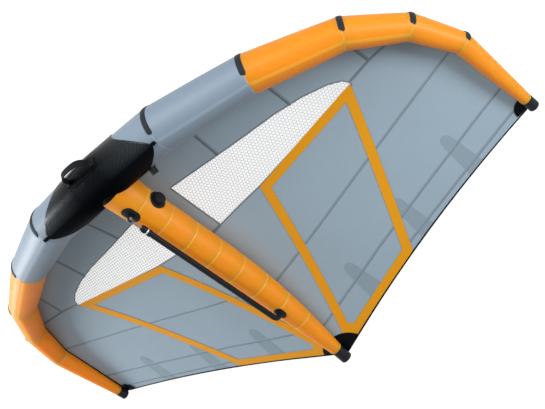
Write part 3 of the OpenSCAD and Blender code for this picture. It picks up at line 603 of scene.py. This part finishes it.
# Canopy: ripstop cloth sewn along the leading edge's back, cambered, and drawn in to the strut's back.
# Cut on each side as nose, mid, aft and tail cloths, with a strip of the same cloth under the strut.
RIM_TURN = (12, 40)
TAIL_MID = np.array([0, -1525, 57.0])
TAIL_BOW = np.array([0, 36, -10.0])
CAP_SLOPE = 0.162
CAMBER = 62
STRUT_PULL = 220
STRIP_HALF = 95
RIM_FADE = 90
LAST = len(LE_BENDS) - 1


def rim_spot(i):
    """Where the cloth is sewn to the tube at bend i: its back, turned to its inner side towards the tip."""
    before = unit(LE_BENDS[max(i, 1)] - LE_BENDS[max(i, 1) - 1])
    after = unit(LE_BENDS[min(i, LAST - 1) + 1] - LE_BENDS[min(i, LAST - 1)])
    way = MID_PLANE if i == 0 else unit(before + after)
    back = unit(np.array([0, 0, -1.0]) + way[2] * way)
    turn = np.radians(RIM_TURN[0] + (RIM_TURN[1] - RIM_TURN[0]) * i / LAST)
    out = np.cos(turn) * back + np.sin(turn) * np.cross(back, way)
    return LE_BENDS[i] + out * (1.004 * LE_RADII[i] + 0.2)


RIM = np.array([rim_spot(i) for i in range(LAST + 1)])
TIP_X = RIM[LAST - 1, 0]
TAIL_TIP = RIM[LAST] + [0, -51, -3]
EVEN_X = np.linspace(-TIP_X, TIP_X, 1001)
BELL = np.exp(-(np.linspace(-2, 2, 101)) ** 2)


def rim_line(axis, x):
    """The sewn line's y or z over the span: straight from bend to bend."""
    return np.interp(x, RIM[:LAST, 0], RIM[:LAST, axis])


def even_rim(axis, x):
    """The sewn line with its bends evened out, for the cloth away from the tube."""
    row = np.pad(rim_line(axis, np.abs(EVEN_X)), 50, mode="reflect", reflect_type="odd")
    return np.interp(x, EVEN_X, np.convolve(row, BELL / BELL.sum(), mode="valid"))


def tail_line(axis, x):
    """The trailing edge from the strut's cap to the tip: a hollow curve that sags a little."""
    u = x / TAIL_TIP[0]
    return TAIL_MID[axis] + (TAIL_TIP[axis] - TAIL_MID[axis]) * u + TAIL_BOW[axis] * 4 * u * (1 - u)


def strut_back(y):
    """Height of the strut's back, and behind the strut of its cap's back, less a small gap."""
    s = np.clip(-y / CENTRE, 0, 1)
    return strut_z(s) - strut_r(s) - 2 + CAP_SLOPE * np.maximum(0, -y - CENTRE)


def camber(v):
    """Share of the camber at a share v of the chord: a parabola, deeper to the front."""
    return 4 * v * (1 - v) * (1.35 - 0.6 * v)


def smooth_canopy(x, y):
    """Height of the cloth between an even rim and the trailing edge: camber along the chord, less of it to
    the tips, and near the strut the strut's back."""
    v = np.clip((even_rim(1, x) - y) / (even_rim(1, x) - tail_line(1, x)), -0.2, 1)
    v_mid = np.clip((even_rim(1, 0 * x) - y) / (even_rim(1, 0 * x) - TAIL_MID[1]), 0, 1)
    deep = CAMBER * (1 - np.minimum(1, x / TIP_X) ** 1.5)
    height = even_rim(2, x) * (1 - v) + tail_line(2, x) * v - deep * camber(v)
    mid_height = even_rim(2, 0 * x) * (1 - v_mid) + TAIL_MID[2] * v_mid - CAMBER * camber(v_mid)
    pull = np.exp(-(x / STRUT_PULL) ** 2) * (1 - (1 - np.clip(v, 0, 1)) ** 6)
    return height + (strut_back(y) - mid_height) * pull


def canopy_z(x, y):
    """Height of the cloth: the smooth surface, drawn to the tube's own line next to it."""
    x = np.abs(x)
    rim_y = rim_line(1, x)
    off = rim_line(2, x) - smooth_canopy(x, rim_y)
    return smooth_canopy(x, y) + off * np.exp(-np.maximum(rim_y - y, 0) / RIM_FADE)


def on_canopy(plan, lift, sign):
    """Points over the plan on the cloth's strut side, on one half of the wing."""
    height = canopy_z(plan[..., 0], plan[..., 1]) + lift
    return laid(np.concatenate([plan, height[..., None]], axis=-1) * MIRROR[sign])


def drawn(line, count):
    """A line of the plan as points an even way apart."""
    line = np.asarray(line, float)
    length = run_length(line)
    at = np.linspace(0, length[-1], count)
    return np.stack([np.interp(at, length, line[:, 0]), np.interp(at, length, line[:, 1])], axis=1)


def patch_plan(front, rear, inner, outer, columns=97, rows=33):
    """A four-sided patch of the plan: its points blend the four sides (a Coons patch)."""
    a, b = drawn(front, columns), drawn(rear, columns)
    c, d = drawn(inner, rows)[:, None], drawn(outer, rows)[:, None]
    s = np.linspace(0, 1, columns)[:, None]
    t = np.linspace(0, 1, rows)[:, None, None]
    corners = (1 - t) * ((1 - s) * a[0] + s * a[-1]) + t * ((1 - s) * b[0] + s * b[-1])
    return (1 - t) * a + t * b + (1 - s) * c + s * d - corners


def ripstop(name, colour, pitch=0.009):
    """Light ripstop cloth with a hard coat: thicker threads in a square grid, and small creases.
    The grid is drawn at 9 mm, coarser than the real 3 mm, so that it shows."""
    material, output, place, *ways = new_cloth(name)
    lines = []
    for way in ways:
        wave = node(material, "Math", {0: way, 1: pitch}, operation="PINGPONG")
        lines.append(node(material, "MapRange", {"Value": wave, "From Min": 0.0016, "From Max": 0.0}))
    grid = node(material, "Math", {0: lines[0], 1: lines[1]}, operation="MAXIMUM")
    cloud = node(material, "TexNoise", {"Vector": place, "Scale": per_metre(286), "Detail": 5.0})
    crease = node(material, "TexNoise", {"Vector": place, "Scale": per_metre(71.5), "Detail": 2.0,
                  "Distortion": 1.0})
    shade = node(material, "MapRange", {"Value": cloud, "To Min": 0.95, "To Max": 1.05})
    darker = node(material, "Math", {0: grid, 1: -0.035, 2: shade}, operation="MULTIPLY_ADD")
    tint = node(material, "HueSaturation", {"Color": linear(colour), "Value": darker})
    height = node(material, "Math", {0: grid, 1: 0.06, 2: crease}, operation="MULTIPLY_ADD")
    bump = node(material, "Bump", {"Height": height, "Strength": 0.25, "Distance": 0.004})
    skin = node(material, "BsdfPrincipled", {"Base Color": tint, "Roughness": 0.45,
                "Specular IOR Level": 0.3, "Normal": bump})
    return joined(material, skin, output)


CANOPY_CLOTH = ripstop("ripstop_grey", "#9bafbd")
WINDOW_FRONT = np.array([[95, -288], [250, -312], [395, -332], [545, -355], [700, -377], [845, -409],
                         [962, -450], [1016, -483], [1032, -512.0]])
WINDOW_REAR = np.array([[95, -593], [376, -584], [1032, -530.0]])
TIP_EDGE = RIM[LAST - 1:, :2]


def rim_at(x):
    """Plan of the sewn line at span x."""
    return spread(x, rim_line(1, x))


def tail_at(x):
    """Plan of the trailing edge at span x."""
    return spread(x, tail_line(1, x))


def tip_rim(t):
    """Plan of the sewn line along the tip, at a share t of it."""
    return TIP_EDGE[0] + t * (TIP_EDGE[1] - TIP_EDGE[0])


CLOSING_SEAM = np.array([WINDOW_FRONT[-1], [1164, -498], RIM[4, :2]])
SEAM_A = np.array([[STRIP_HALF, -993], tip_rim(0)])
SEAM_B = np.array([[STRIP_HALF, -1318], [534, -1206], tip_rim(0.71)])
SEAM_C = np.array([[612, -1296], tip_rim(1)])
TAIL_EDGE = tail_at(np.linspace(STRIP_HALF, TAIL_TIP[0], 41))
RIM_NEAR = rim_at(np.array([STRIP_HALF, *RIM[1:4, 0], RIM[4, 0] - 1]))
sheets = {}


def cloth_piece(name, plan, material, slot, sign, nodes=(), lift=0.0):
    """A piece of cloth over a plan. Its uv is the plan in metres, so its threads run with the span."""
    piece = grid_piece(name, on_canopy(plan, lift, sign), plan / 1000, material, flip=sign > 0)
    return wing_piece(piece, slot, *nodes)


for side, sign in SIDES:
    rear_of_nose = np.concatenate([WINDOW_FRONT, CLOSING_SEAM[1:]])
    front_of_mid = np.concatenate([WINDOW_REAR, CLOSING_SEAM])
    cuts = {
        "nose": patch_plan(RIM_NEAR, rear_of_nose, [RIM_NEAR[0], WINDOW_FRONT[0]],
                           [RIM_NEAR[-1], RIM_NEAR[-1]]),
        "mid": patch_plan(front_of_mid, SEAM_A, [WINDOW_REAR[0], SEAM_A[0]], [RIM[4, :2], SEAM_A[1]]),
        "aft": patch_plan(SEAM_A, SEAM_B, [SEAM_A[0], SEAM_B[0]], [SEAM_A[1], SEAM_B[2]]),
        "tail": patch_plan(SEAM_B, TAIL_EDGE, [SEAM_B[0], TAIL_EDGE[0]],
                           [SEAM_B[2], tip_rim(1), TAIL_EDGE[-1]])}
    for part, plan in cuts.items():
        name = f"canopy_{part}_{side}"
        sheets[name] = cloth_piece(name + "_cloth", plan, CANOPY_CLOTH, "canopy_cloth", sign, (name,))
strip_x = np.linspace(-STRIP_HALF, STRIP_HALF, 25)
strip_y = np.linspace(0, 1, 121)[:, None]
strip_front = rim_line(1, np.abs(strip_x))
strip_run = strip_front + (tail_line(1, np.abs(strip_x)) - strip_front) * strip_y
strip_plan = spread(strip_x, strip_run)
sheets["canopy_strip"] = cloth_piece("canopy_strip_cloth", strip_plan, CANOPY_CLOTH, "canopy_cloth", 1,
                                     ("canopy_strip",))

# Windows: clear film on a net of pale threads, sewn into the canopy on each side of the strut.
# Their dark edging is a tape folded over the seam.
NET_PITCH = 0.017
# From the middle of a clear dot, where the thread starts and where it is full
NET_THREAD = (0.0072, 0.0086)


def window_film():
    """Milky film over a net: a hexagonal lattice of clear dots with grey threads between them, drawn coarser
    than the real one so that it shows. It is two oblong lattices, the second half a step along both ways."""
    step = np.array([NET_PITCH, NET_PITCH * np.sqrt(3), 1.0])
    material, output = new_material("window_film_on_net")
    place = node(material, "UVMap", uv_map="uv")
    dots = []
    for shift in (0.0, 0.5):
        cell = node(material, "VectorMath", {0: place, 1: tuple(step)}, operation="DIVIDE")
        moved = node(material, "VectorMath", {0: cell, 1: (shift, shift, 0.0)}, operation="ADD")
        within = node(material, "VectorMath", {0: moved, 1: (-0.5, -0.5, -0.5), 2: (0.5, 0.5, 0.5)},
                      operation="WRAP")
        size = node(material, "VectorMath", {0: within, 1: tuple(step)}, operation="MULTIPLY")
        dots.append(node(material, "VectorMath", {0: size}, operation="LENGTH").outputs["Value"])
    near = node(material, "Math", {0: dots[0], 1: dots[1]}, operation="MINIMUM")
    web = node(material, "MapRange", {"Value": near, "From Min": NET_THREAD[0], "From Max": NET_THREAD[1]})
    tint = node(material, "Mix", {0: web, 6: linear("#ffffff"), 7: linear("#b0bac1")}, data_type="RGBA")
    cover = node(material, "MapRange", {"Value": web, "To Min": 0.2, "To Max": 0.88})
    bump = node(material, "Bump", {"Height": web, "Strength": 0.3, "Distance": 0.0008})
    skin = node(material, "BsdfPrincipled", {"Base Color": tint.outputs[2], "Roughness": 0.3,
                "Specular IOR Level": 0.3, "Alpha": cover, "Normal": bump})
    return joined(material, skin, output)


WINDOW_FILM = window_film()
for side, sign in SIDES:
    plan = patch_plan(WINDOW_FRONT, WINDOW_REAR, [WINDOW_FRONT[0], WINDOW_REAR[0]],
                      [WINDOW_FRONT[-1], WINDOW_REAR[-1]])
    name = f"window_{side}"
    sheets[name] = cloth_piece(name + "_film", plan, WINDOW_FILM, "window_film", sign, (name,))

# Seam tapes: darker strips of ripstop, sewn over every seam of the canopy, round the windows and along short
# seams of the nose cloth. Those of the two long seams run on below the strut.
SEAM_TAPE = ripstop("seam_tape_grey", "#8293a0")
DARK_TAPE = ripstop("seam_tape_dark_grey", "#74838e")
SHORT_SEAMS = np.array([[[409, -110], [383, -332]], [[792, -205], [786, -400]],
                        [[1153, -322], [1164, -498.0]], [[20, -598], [95, -593]]])
TAPE_W = 12.5
EDGING_W = 7
TAPE_LIFT = 1.2
SHORT_LIFT = 1.4
SHORT_TAPE_W = 17
UNDER_STRUT = 75


def tape(name, line, width, lift, material, slot, sign, nodes=()):
    """A tape along a line of the plan, its edges drawn down to the cloth. Two widths make it taper."""
    line = drawn(line, max(8, int(run_length(line)[-1] / 10)))
    way = unit(np.gradient(line, axis=0))
    aside = np.stack([-way[:, 1], way[:, 0]], axis=1)
    across = np.array([-0.5, -0.44, 0, 0.44, 0.5])
    widths = np.linspace(*np.broadcast_to(width, 2), len(line))
    plan = line[:, None] + across[:, None] * (widths[:, None] * aside)[:, None]
    rise = np.where(np.abs(across) > 0.47, 0.2, lift)
    return cloth_piece(name, plan, material, slot, sign, nodes, rise)


def under_strut(seam):
    """A seam carried on along its first leg, over the strip to below the strut."""
    leg = seam[1] - seam[0]
    return np.concatenate([[seam[0] - leg * UNDER_STRUT / leg[0]], seam])


WINDOW_EDGE = np.concatenate([WINDOW_FRONT, WINDOW_REAR[::-1], WINDOW_FRONT[:1]])
for side, sign in SIDES:
    for name, line, width, cloth in (("seam_a", under_strut(SEAM_A), TAPE_W, SEAM_TAPE),
                                     ("seam_b", under_strut(SEAM_B), TAPE_W, SEAM_TAPE),
                                     ("seam_c", SEAM_C, TAPE_W, SEAM_TAPE),
                                     ("closing_seam", CLOSING_SEAM, TAPE_W, DARK_TAPE),
                                     ("window_edge", WINDOW_EDGE, EDGING_W, DARK_TAPE)):
        tape(f"{name}_tape_{side}", line, width, TAPE_LIFT, cloth, "seam_tape", sign,
                          ("seam_tapes",))
    for i, line in enumerate(SHORT_SEAMS):
        tape(f"short_seam_{i + 1}_{side}", line, SHORT_TAPE_W, SHORT_LIFT, DARK_TAPE,
                          "seam_tape", sign)

# Stripes: on each side a closed four-sided band of orange ripstop, cut as four strips that meet at mitred
# corners, and bonded to the canopy. A small gusset fills the sharp corner at the rear.
STRIPE_W = 45
STRIPE_LIFT = 2
GUSSET = 34
STRIPE_CORNERS = np.array([[40, -1499], [628, -1331], [1030, -518], [376, -586.0]])
STRIPE_CLOTH = ripstop("stripe_cloth_orange", "#ea9e0c")


def inset_corner(i):
    """Corner i of the stripe's inner line, a stripe's width inside its outer one."""
    before = unit(STRIPE_CORNERS[i] - STRIPE_CORNERS[i - 1])
    after = unit(STRIPE_CORNERS[(i + 1) % 4] - STRIPE_CORNERS[i])
    middle = unit(before + after)
    return STRIPE_CORNERS[i] + np.array([-middle[1], middle[0]]) * STRIPE_W / (middle @ after)


for side, sign in SIDES:
    for i in range(4):
        outside = STRIPE_CORNERS[[i, (i + 1) % 4]]
        inside = np.array([inset_corner(i), inset_corner((i + 1) % 4)])
        plan = patch_plan(inside, outside, [inside[0], outside[0]], [inside[1], outside[1]], 81, 6)
        cloth_piece(f"stripe_{i + 1}_{side}", plan, STRIPE_CLOTH, "stripe_cloth", sign,
                                 (f"stripe_{side}",), STRIPE_LIFT)
    inner_tip = inset_corner(0)
    legs = np.array([unit(inset_corner(i) - inner_tip) for i in (1, 3)])
    gusset_rows = GUSSET * np.linspace(0.02, 1, 7)[:, None, None]
    across = np.linspace(0, 1, 13)[:, None]
    plan = inner_tip + gusset_rows * ((1 - across) * legs[0] + across * legs[1])
    cloth_piece(f"stripe_gusset_{side}", plan, STRIPE_CLOTH, "stripe_cloth", sign,
                             lift=STRIPE_LIFT)

# Trailing edge: darker fin-shaped patches against flutter, a black edge tape and black corner patches, and
# near the tips a black welt where the canopy is sewn to the tube.
FIN_CLOTH = ripstop("fin_patch_cloth", "#8c9fac")
EDGE_CLOTH = coated_cloth("black_edge_tape", "#090b0d", 0.5, 0.004, 0.1, (0.02, 0.1))
FIN_NOSE = np.array([[347, -1163], [745, -1075], [1114, -1002.0]])
FIN_FOOT_X = np.array([[306, 408], [707, 794], [1075, 1162.0]])
FIN_ABOVE_EDGE = 8
FIN_NOSE_HALF = np.array([26, 3.0])
FIN_LIFT = 0.6
TAIL_TAPE_W = (10, 5)
TAIL_LIFT = 3
CORNER_LIFT = 4
CORNER_FROM = 8
INNER_CORNER_R = 107
TIP_CORNER_R = 58
WELT_W = 11


def fin_plan(i):
    """A patch with a round nose that widens to its foot: rows run from the nose to the foot."""
    t = (np.linspace(0, 1, 41) ** 1.6)[:, None]
    foot = tail_at(FIN_FOOT_X[i]) + [0, FIN_ABOVE_EDGE]
    middle = FIN_NOSE[i] + (foot.mean(axis=0) - FIN_NOSE[i]) * t
    nose = np.sqrt(1 - (1 - np.minimum(t / 0.16, 1)) ** 2)
    half = FIN_NOSE_HALF * nose * (1 - t) + t * (foot[1] - foot[0]) / 2
    return middle[:, None] + np.linspace(-1, 1, 13)[:, None] * half[:, None]


def corner_plan(centre, radius, start, stop, widen=1.0):
    """Part of a ring round a corner, between two angles in degrees, widened along the span."""
    turn = np.radians(np.linspace(start, stop, 33))
    ring = np.linspace(radius, 2, 13)[:, None]
    return centre + spread(widen * ring * np.cos(turn), ring * np.sin(turn))


def welt_grid(sign):
    """Strip along the sewn line from bend 4 to the corner: from the tube's cloth over the line to the
    canopy."""
    sewn = np.vstack([RIM[4:], TAIL_TIP])
    at = np.linspace(0, len(sewn) - 1, 121)
    line = np.stack([np.interp(at, np.arange(len(sewn)), sewn[:, k]) for k in range(3)], axis=1)
    way = unit(np.gradient(line[:, :2], axis=0))
    inward = np.stack([way[:, 1], -way[:, 0]], axis=1)
    inside = line[:, :2] + WELT_W * inward
    on_cloth = np.column_stack([inside, canopy_z(*inside.T) + 1.5])
    in_tube = line - np.column_stack([5 * inward, np.full(len(line), 1.0)])
    points = np.stack([in_tube, line + [0, 0, 2], on_cloth], axis=1)
    return laid(points * MIRROR[sign]), points[..., :2] / 1000


def edge_turn(x):
    """Direction of the trailing edge at span x, in degrees."""
    step = tail_at(x + 5) - tail_at(x - 5)
    return np.degrees(np.arctan2(step[1], step[0]))


for side, sign in SIDES:
    trim = [cloth_piece(f"fin_{i + 1}_{side}", fin_plan(i), FIN_CLOTH, "fin_cloth", sign, ("fin_patches",),
                        FIN_LIFT) for i in range(len(FIN_NOSE))]
    edge = tail_at(np.linspace(CORNER_FROM, TAIL_TIP[0] - 20, 41))
    edge[:, 1] += np.linspace(*TAIL_TAPE_W, len(edge)) / 2
    trim.append(tape(f"tail_tape_{side}", edge, TAIL_TAPE_W, TAIL_LIFT, EDGE_CLOTH, "black_patch", sign,
                     ("tail_tapes",)))
    at_strut = corner_plan(tail_at(CORNER_FROM) + [0, 6], INNER_CORNER_R, 90, edge_turn(60) + 4, widen=1.12)
    at_tip = corner_plan(TAIL_TIP[:2] + [-14, 6], TIP_CORNER_R, 178 + edge_turn(TAIL_TIP[0] - 30), 96)
    for part, plan in (("inner", at_strut), ("tip", at_tip)):
        trim.append(cloth_piece(f"corner_{part}_{side}", plan, EDGE_CLOTH, "black_patch", sign,
                                ("corner_patches",), CORNER_LIFT))
    welt = grid_piece(f"rim_welt_{side}", *welt_grid(sign), EDGE_CLOTH, flip=sign < 0)
    trim.append(wing_piece(welt, "black_patch"))


def cloth_sizes(piece):
    """Reach of a cloth over the span, its chord with 2 percent for the curve, and its area, in metres."""
    low, high = np.array(piece.bound_box).min(axis=0), np.array(piece.bound_box).max(axis=0)
    area = sum(face.area for face in piece.data.polygons)
    width, length = high[0] - low[0], 1.02 * np.hypot(*(high - low)[1:])
    return width, max(length, 1.01 * area / width), area


for name, piece in sheets.items():
    width, length, area = cloth_sizes(piece)

# Caps: plugs of moulded nylon, pressed into the tips of the leading edge and the end of the strut. They and
# the rigid pieces below keep their CAD shapes and only take finishes.


def moulded(name, colour, rough, grain, shine=0.15):
    """Hard moulded or coated surface: a fine grain, and a soft shine that is a little uneven."""
    material, output = new_material(name)
    place = node(material, "TexCoord").outputs["Object"]
    fine = node(material, "TexNoise", {"Vector": place, "Scale": per_metre(1.1), "Detail": 2.0})
    wide = node(material, "TexNoise", {"Vector": place, "Scale": per_metre(40), "Detail": 3.0})
    worn = node(material, "MapRange", {"Value": wide, "To Min": rough - 0.06, "To Max": rough + 0.08})
    tint = uneven(material, linear(colour), wide, 0.85, 1.15)
    bump = node(material, "Bump", {"Height": fine, "Strength": grain, "Distance": 0.0002})
    skin = node(material, "BsdfPrincipled", {"Base Color": tint, "Roughness": worn,
                "Specular IOR Level": shine, "Normal": bump})
    return joined(material, skin, output)


def take_finish(material, *names):
    """Gives CAD nodes a material."""
    for name in names:
        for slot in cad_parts[name].material_slots:
            slot.material = material


BLACK_MOULDING = moulded("black_nylon_moulding", "#15191c", 0.4, 0.3)
take_finish(BLACK_MOULDING, "tip_cap_right", "tip_cap_left", "strut_cap")

# Valves: a wide one on the strut for the pump, and a small one on the back of the leading edge. Each is a
# flange of moulded nylon welded to the bladder, with a cap that screws off.
take_finish(BLACK_MOULDING, "strut_valve_base", "strut_valve_cap", "le_valve_base", "le_valve_cap")

# Boom: a black anodised tube that hangs by a fork on the pin of a moulded lug, and hooks into a moulded
# socket with its rear elbow. A sleeve behind the fork adjusts it. The pin is bare metal, the fork darker.


def bare_metal(name, colour, rough):
    """Brushed metal: bright, with streaks of roughness."""
    material, output = new_material(name)
    place = node(material, "TexCoord").outputs["Object"]
    streak = node(material, "TexNoise", {"Vector": place, "Scale": per_metre(8.3), "Detail": 3.0})
    worn = node(material, "MapRange", {"Value": streak, "To Min": rough - 0.08, "To Max": rough + 0.1})
    skin = node(material, "BsdfPrincipled", {"Base Color": linear(colour), "Metallic": 1.0,
                "Roughness": worn})
    return joined(material, skin, output)


BARE_METAL = bare_metal("brushed_metal", "#b9bdc0", 0.32)
take_finish(BLACK_MOULDING, "boom_patch", "boom_lug", "boom_elbow", "boom_socket")
take_finish(moulded("black_anodised_tube", "#101315", 0.32, 0.1), "boom_tube", "boom_adjuster")
take_finish(BARE_METAL, "boom_pin")
take_finish(bare_metal("dark_anodised_metal", "#6d7276", 0.3), "boom_fork")

# Adjuster band: a ring of bare metal, turned on a lathe and pressed onto the middle of the adjuster, so that
# it turns with it. Its profile is carried round the boom's axis.
BOOM_PIVOT = np.array([0, -176, 118.0])
BOOM_AFT = unit(np.array([0, -866, 14.0]))
BAND_FROM = 93
BAND_PROFILE = np.array([[0, 16.6], [0.4, 17.3], [7.6, 17.3], [8, 16.6]])
band_turn = np.linspace(-np.pi, np.pi, 48, endpoint=False)
band_up = np.cross(BOOM_AFT, MID_PLANE)
band_round = np.cos(band_turn)[:, None] * MID_PLANE + np.sin(band_turn)[:, None] * band_up
band_points = (BOOM_PIVOT + (BAND_FROM + BAND_PROFILE[:, :1, None]) * BOOM_AFT
               + BAND_PROFILE[:, 1:, None] * band_round)
band_uv = np.stack(np.meshgrid(np.linspace(0, 0.1, 49), BAND_PROFILE[:, 0] / 1000), axis=-1)
band = grid_piece("adjuster_band", laid(band_points), band_uv, BARE_METAL, wrap=True)
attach(band, "boom_adjuster")

# Bladders: closed tubes of clear welded film inside the woven skins, one in the leading edge and one in the
# strut. They hold the air, and nothing shows them.
take_finish(moulded("bladder_film", "#dfe3e4", 0.3, 0.05), "le_bladder", "strut_bladder")

# Floor, light and camera: a plain pale studio. The camera stands where the photograph's stood, ahead of the
# leading edge on the strut's side, and is rolled as that one was.
IMAGE_WIDTH = 545
FOCAL_PIXELS = 1094.8
SENSOR_MM = 36
CAMERA_AT = np.array([3113, 1355, 3580])
IMAGE_RIGHT = np.array([0.6627, -0.7442, -0.0835])
IMAGE_DOWN = np.array([-0.5115, -0.5312, 0.6754])

scene = bpy.context.scene
scene.view_settings.view_transform = "Standard"
camera_data = bpy.data.cameras.new("camera")
camera_data.sensor_width = SENSOR_MM
camera_data.lens = FOCAL_PIXELS / IMAGE_WIDTH * SENSOR_MM
camera_data.clip_end = 100
camera = bpy.data.objects.new("camera", camera_data)
scene.collection.objects.link(camera)
right = unit(LAY_TURN @ IMAGE_RIGHT)
up = unit(-LAY_TURN @ IMAGE_DOWN)
up = unit(up - (up @ right) * right)
back = np.cross(right, up)
pose = np.eye(4)
pose[:3] = np.column_stack([right, up, back, laid(CAMERA_AT)])
camera.matrix_world = Matrix(pose)
scene.camera = camera

FLOOR_GLOW = 0.86
FLOOR_HALF = 40
FLOOR_DROP = 0.002
WORLD_LEVEL = 0.26
LAMP_DISTANCE = 5
floor_mesh = bpy.data.meshes.new("floor")
floor_corners = [(x * FLOOR_HALF, y * FLOOR_HALF, 0) for x, y in ((-1, -1), (1, -1), (1, 1), (-1, 1))]
floor_mesh.from_pydata(floor_corners, [], [(0, 1, 2, 3)])
floor = bpy.data.objects.new("floor", floor_mesh)
floor.location.z = -FLOOR_DROP
scene.collection.objects.link(floor)


def seen_ray(material):
    """One where the camera, a mirror or clear film looks at the surface, else nothing."""
    path = node(material, "LightPath").outputs
    mirrored = node(material, "Math", {0: path["Is Camera Ray"], 1: path["Is Glossy Ray"]},
                    operation="MAXIMUM")
    return node(material, "Math", {0: mirrored, 1: path["Is Transmission Ray"]},
                operation="MAXIMUM")


def white_floor():
    """Pale matt paper that takes the wing's shadow; where it is looked at it also glows, up to white."""
    material, output = new_material("white_floor")
    paper = node(material, "BsdfDiffuse", {"Color": linear("#a9abac")})
    glow = node(material, "Emission", {"Color": (1.0, 1.0, 1.0, 1.0), "Strength": FLOOR_GLOW})
    lit = node(material, "AddShader", {0: paper, 1: glow})
    mixed = node(material, "MixShader", {0: seen_ray(material), 1: paper, 2: lit})
    return joined(material, mixed, output)


floor_mesh.materials.append(white_floor())
world = bpy.data.worlds.new("studio")
scene.world = world
world.use_nodes = True
backdrop = world.node_tree.nodes["Background"]
level = node(world, "MapRange", {"Value": seen_ray(world), "To Min": WORLD_LEVEL, "To Max": 1.0})
world.node_tree.links.new(level.outputs[0], backdrop.inputs["Strength"])
backdrop.inputs["Color"].default_value = (1.0, 1.0, 1.0, 1.0)


def lamp(name, way, power, width, height):
    """An oblong soft lamp in a direction of the scene, that points at the wing."""
    data = bpy.data.lights.new(name, "AREA")
    data.energy = power
    data.shape = "RECTANGLE"
    data.size = width
    data.size_y = height
    made = bpy.data.objects.new(name, data)
    scene.collection.objects.link(made)
    at = LAMP_DISTANCE * unit(np.asarray(way, float))
    made.location = at
    made.rotation_euler = Vector(at).to_track_quat("Z", "Y").to_euler()


lamp("left", (-0.9, 0.4, 0.15), 200, 3.6, 1.2)
lamp("right", (0.97, 0.1, 0.32), 150, 3.6, 1.2)
lamp("front", (0.15, 0.95, 0.27), 145, 3.2, 2.2)
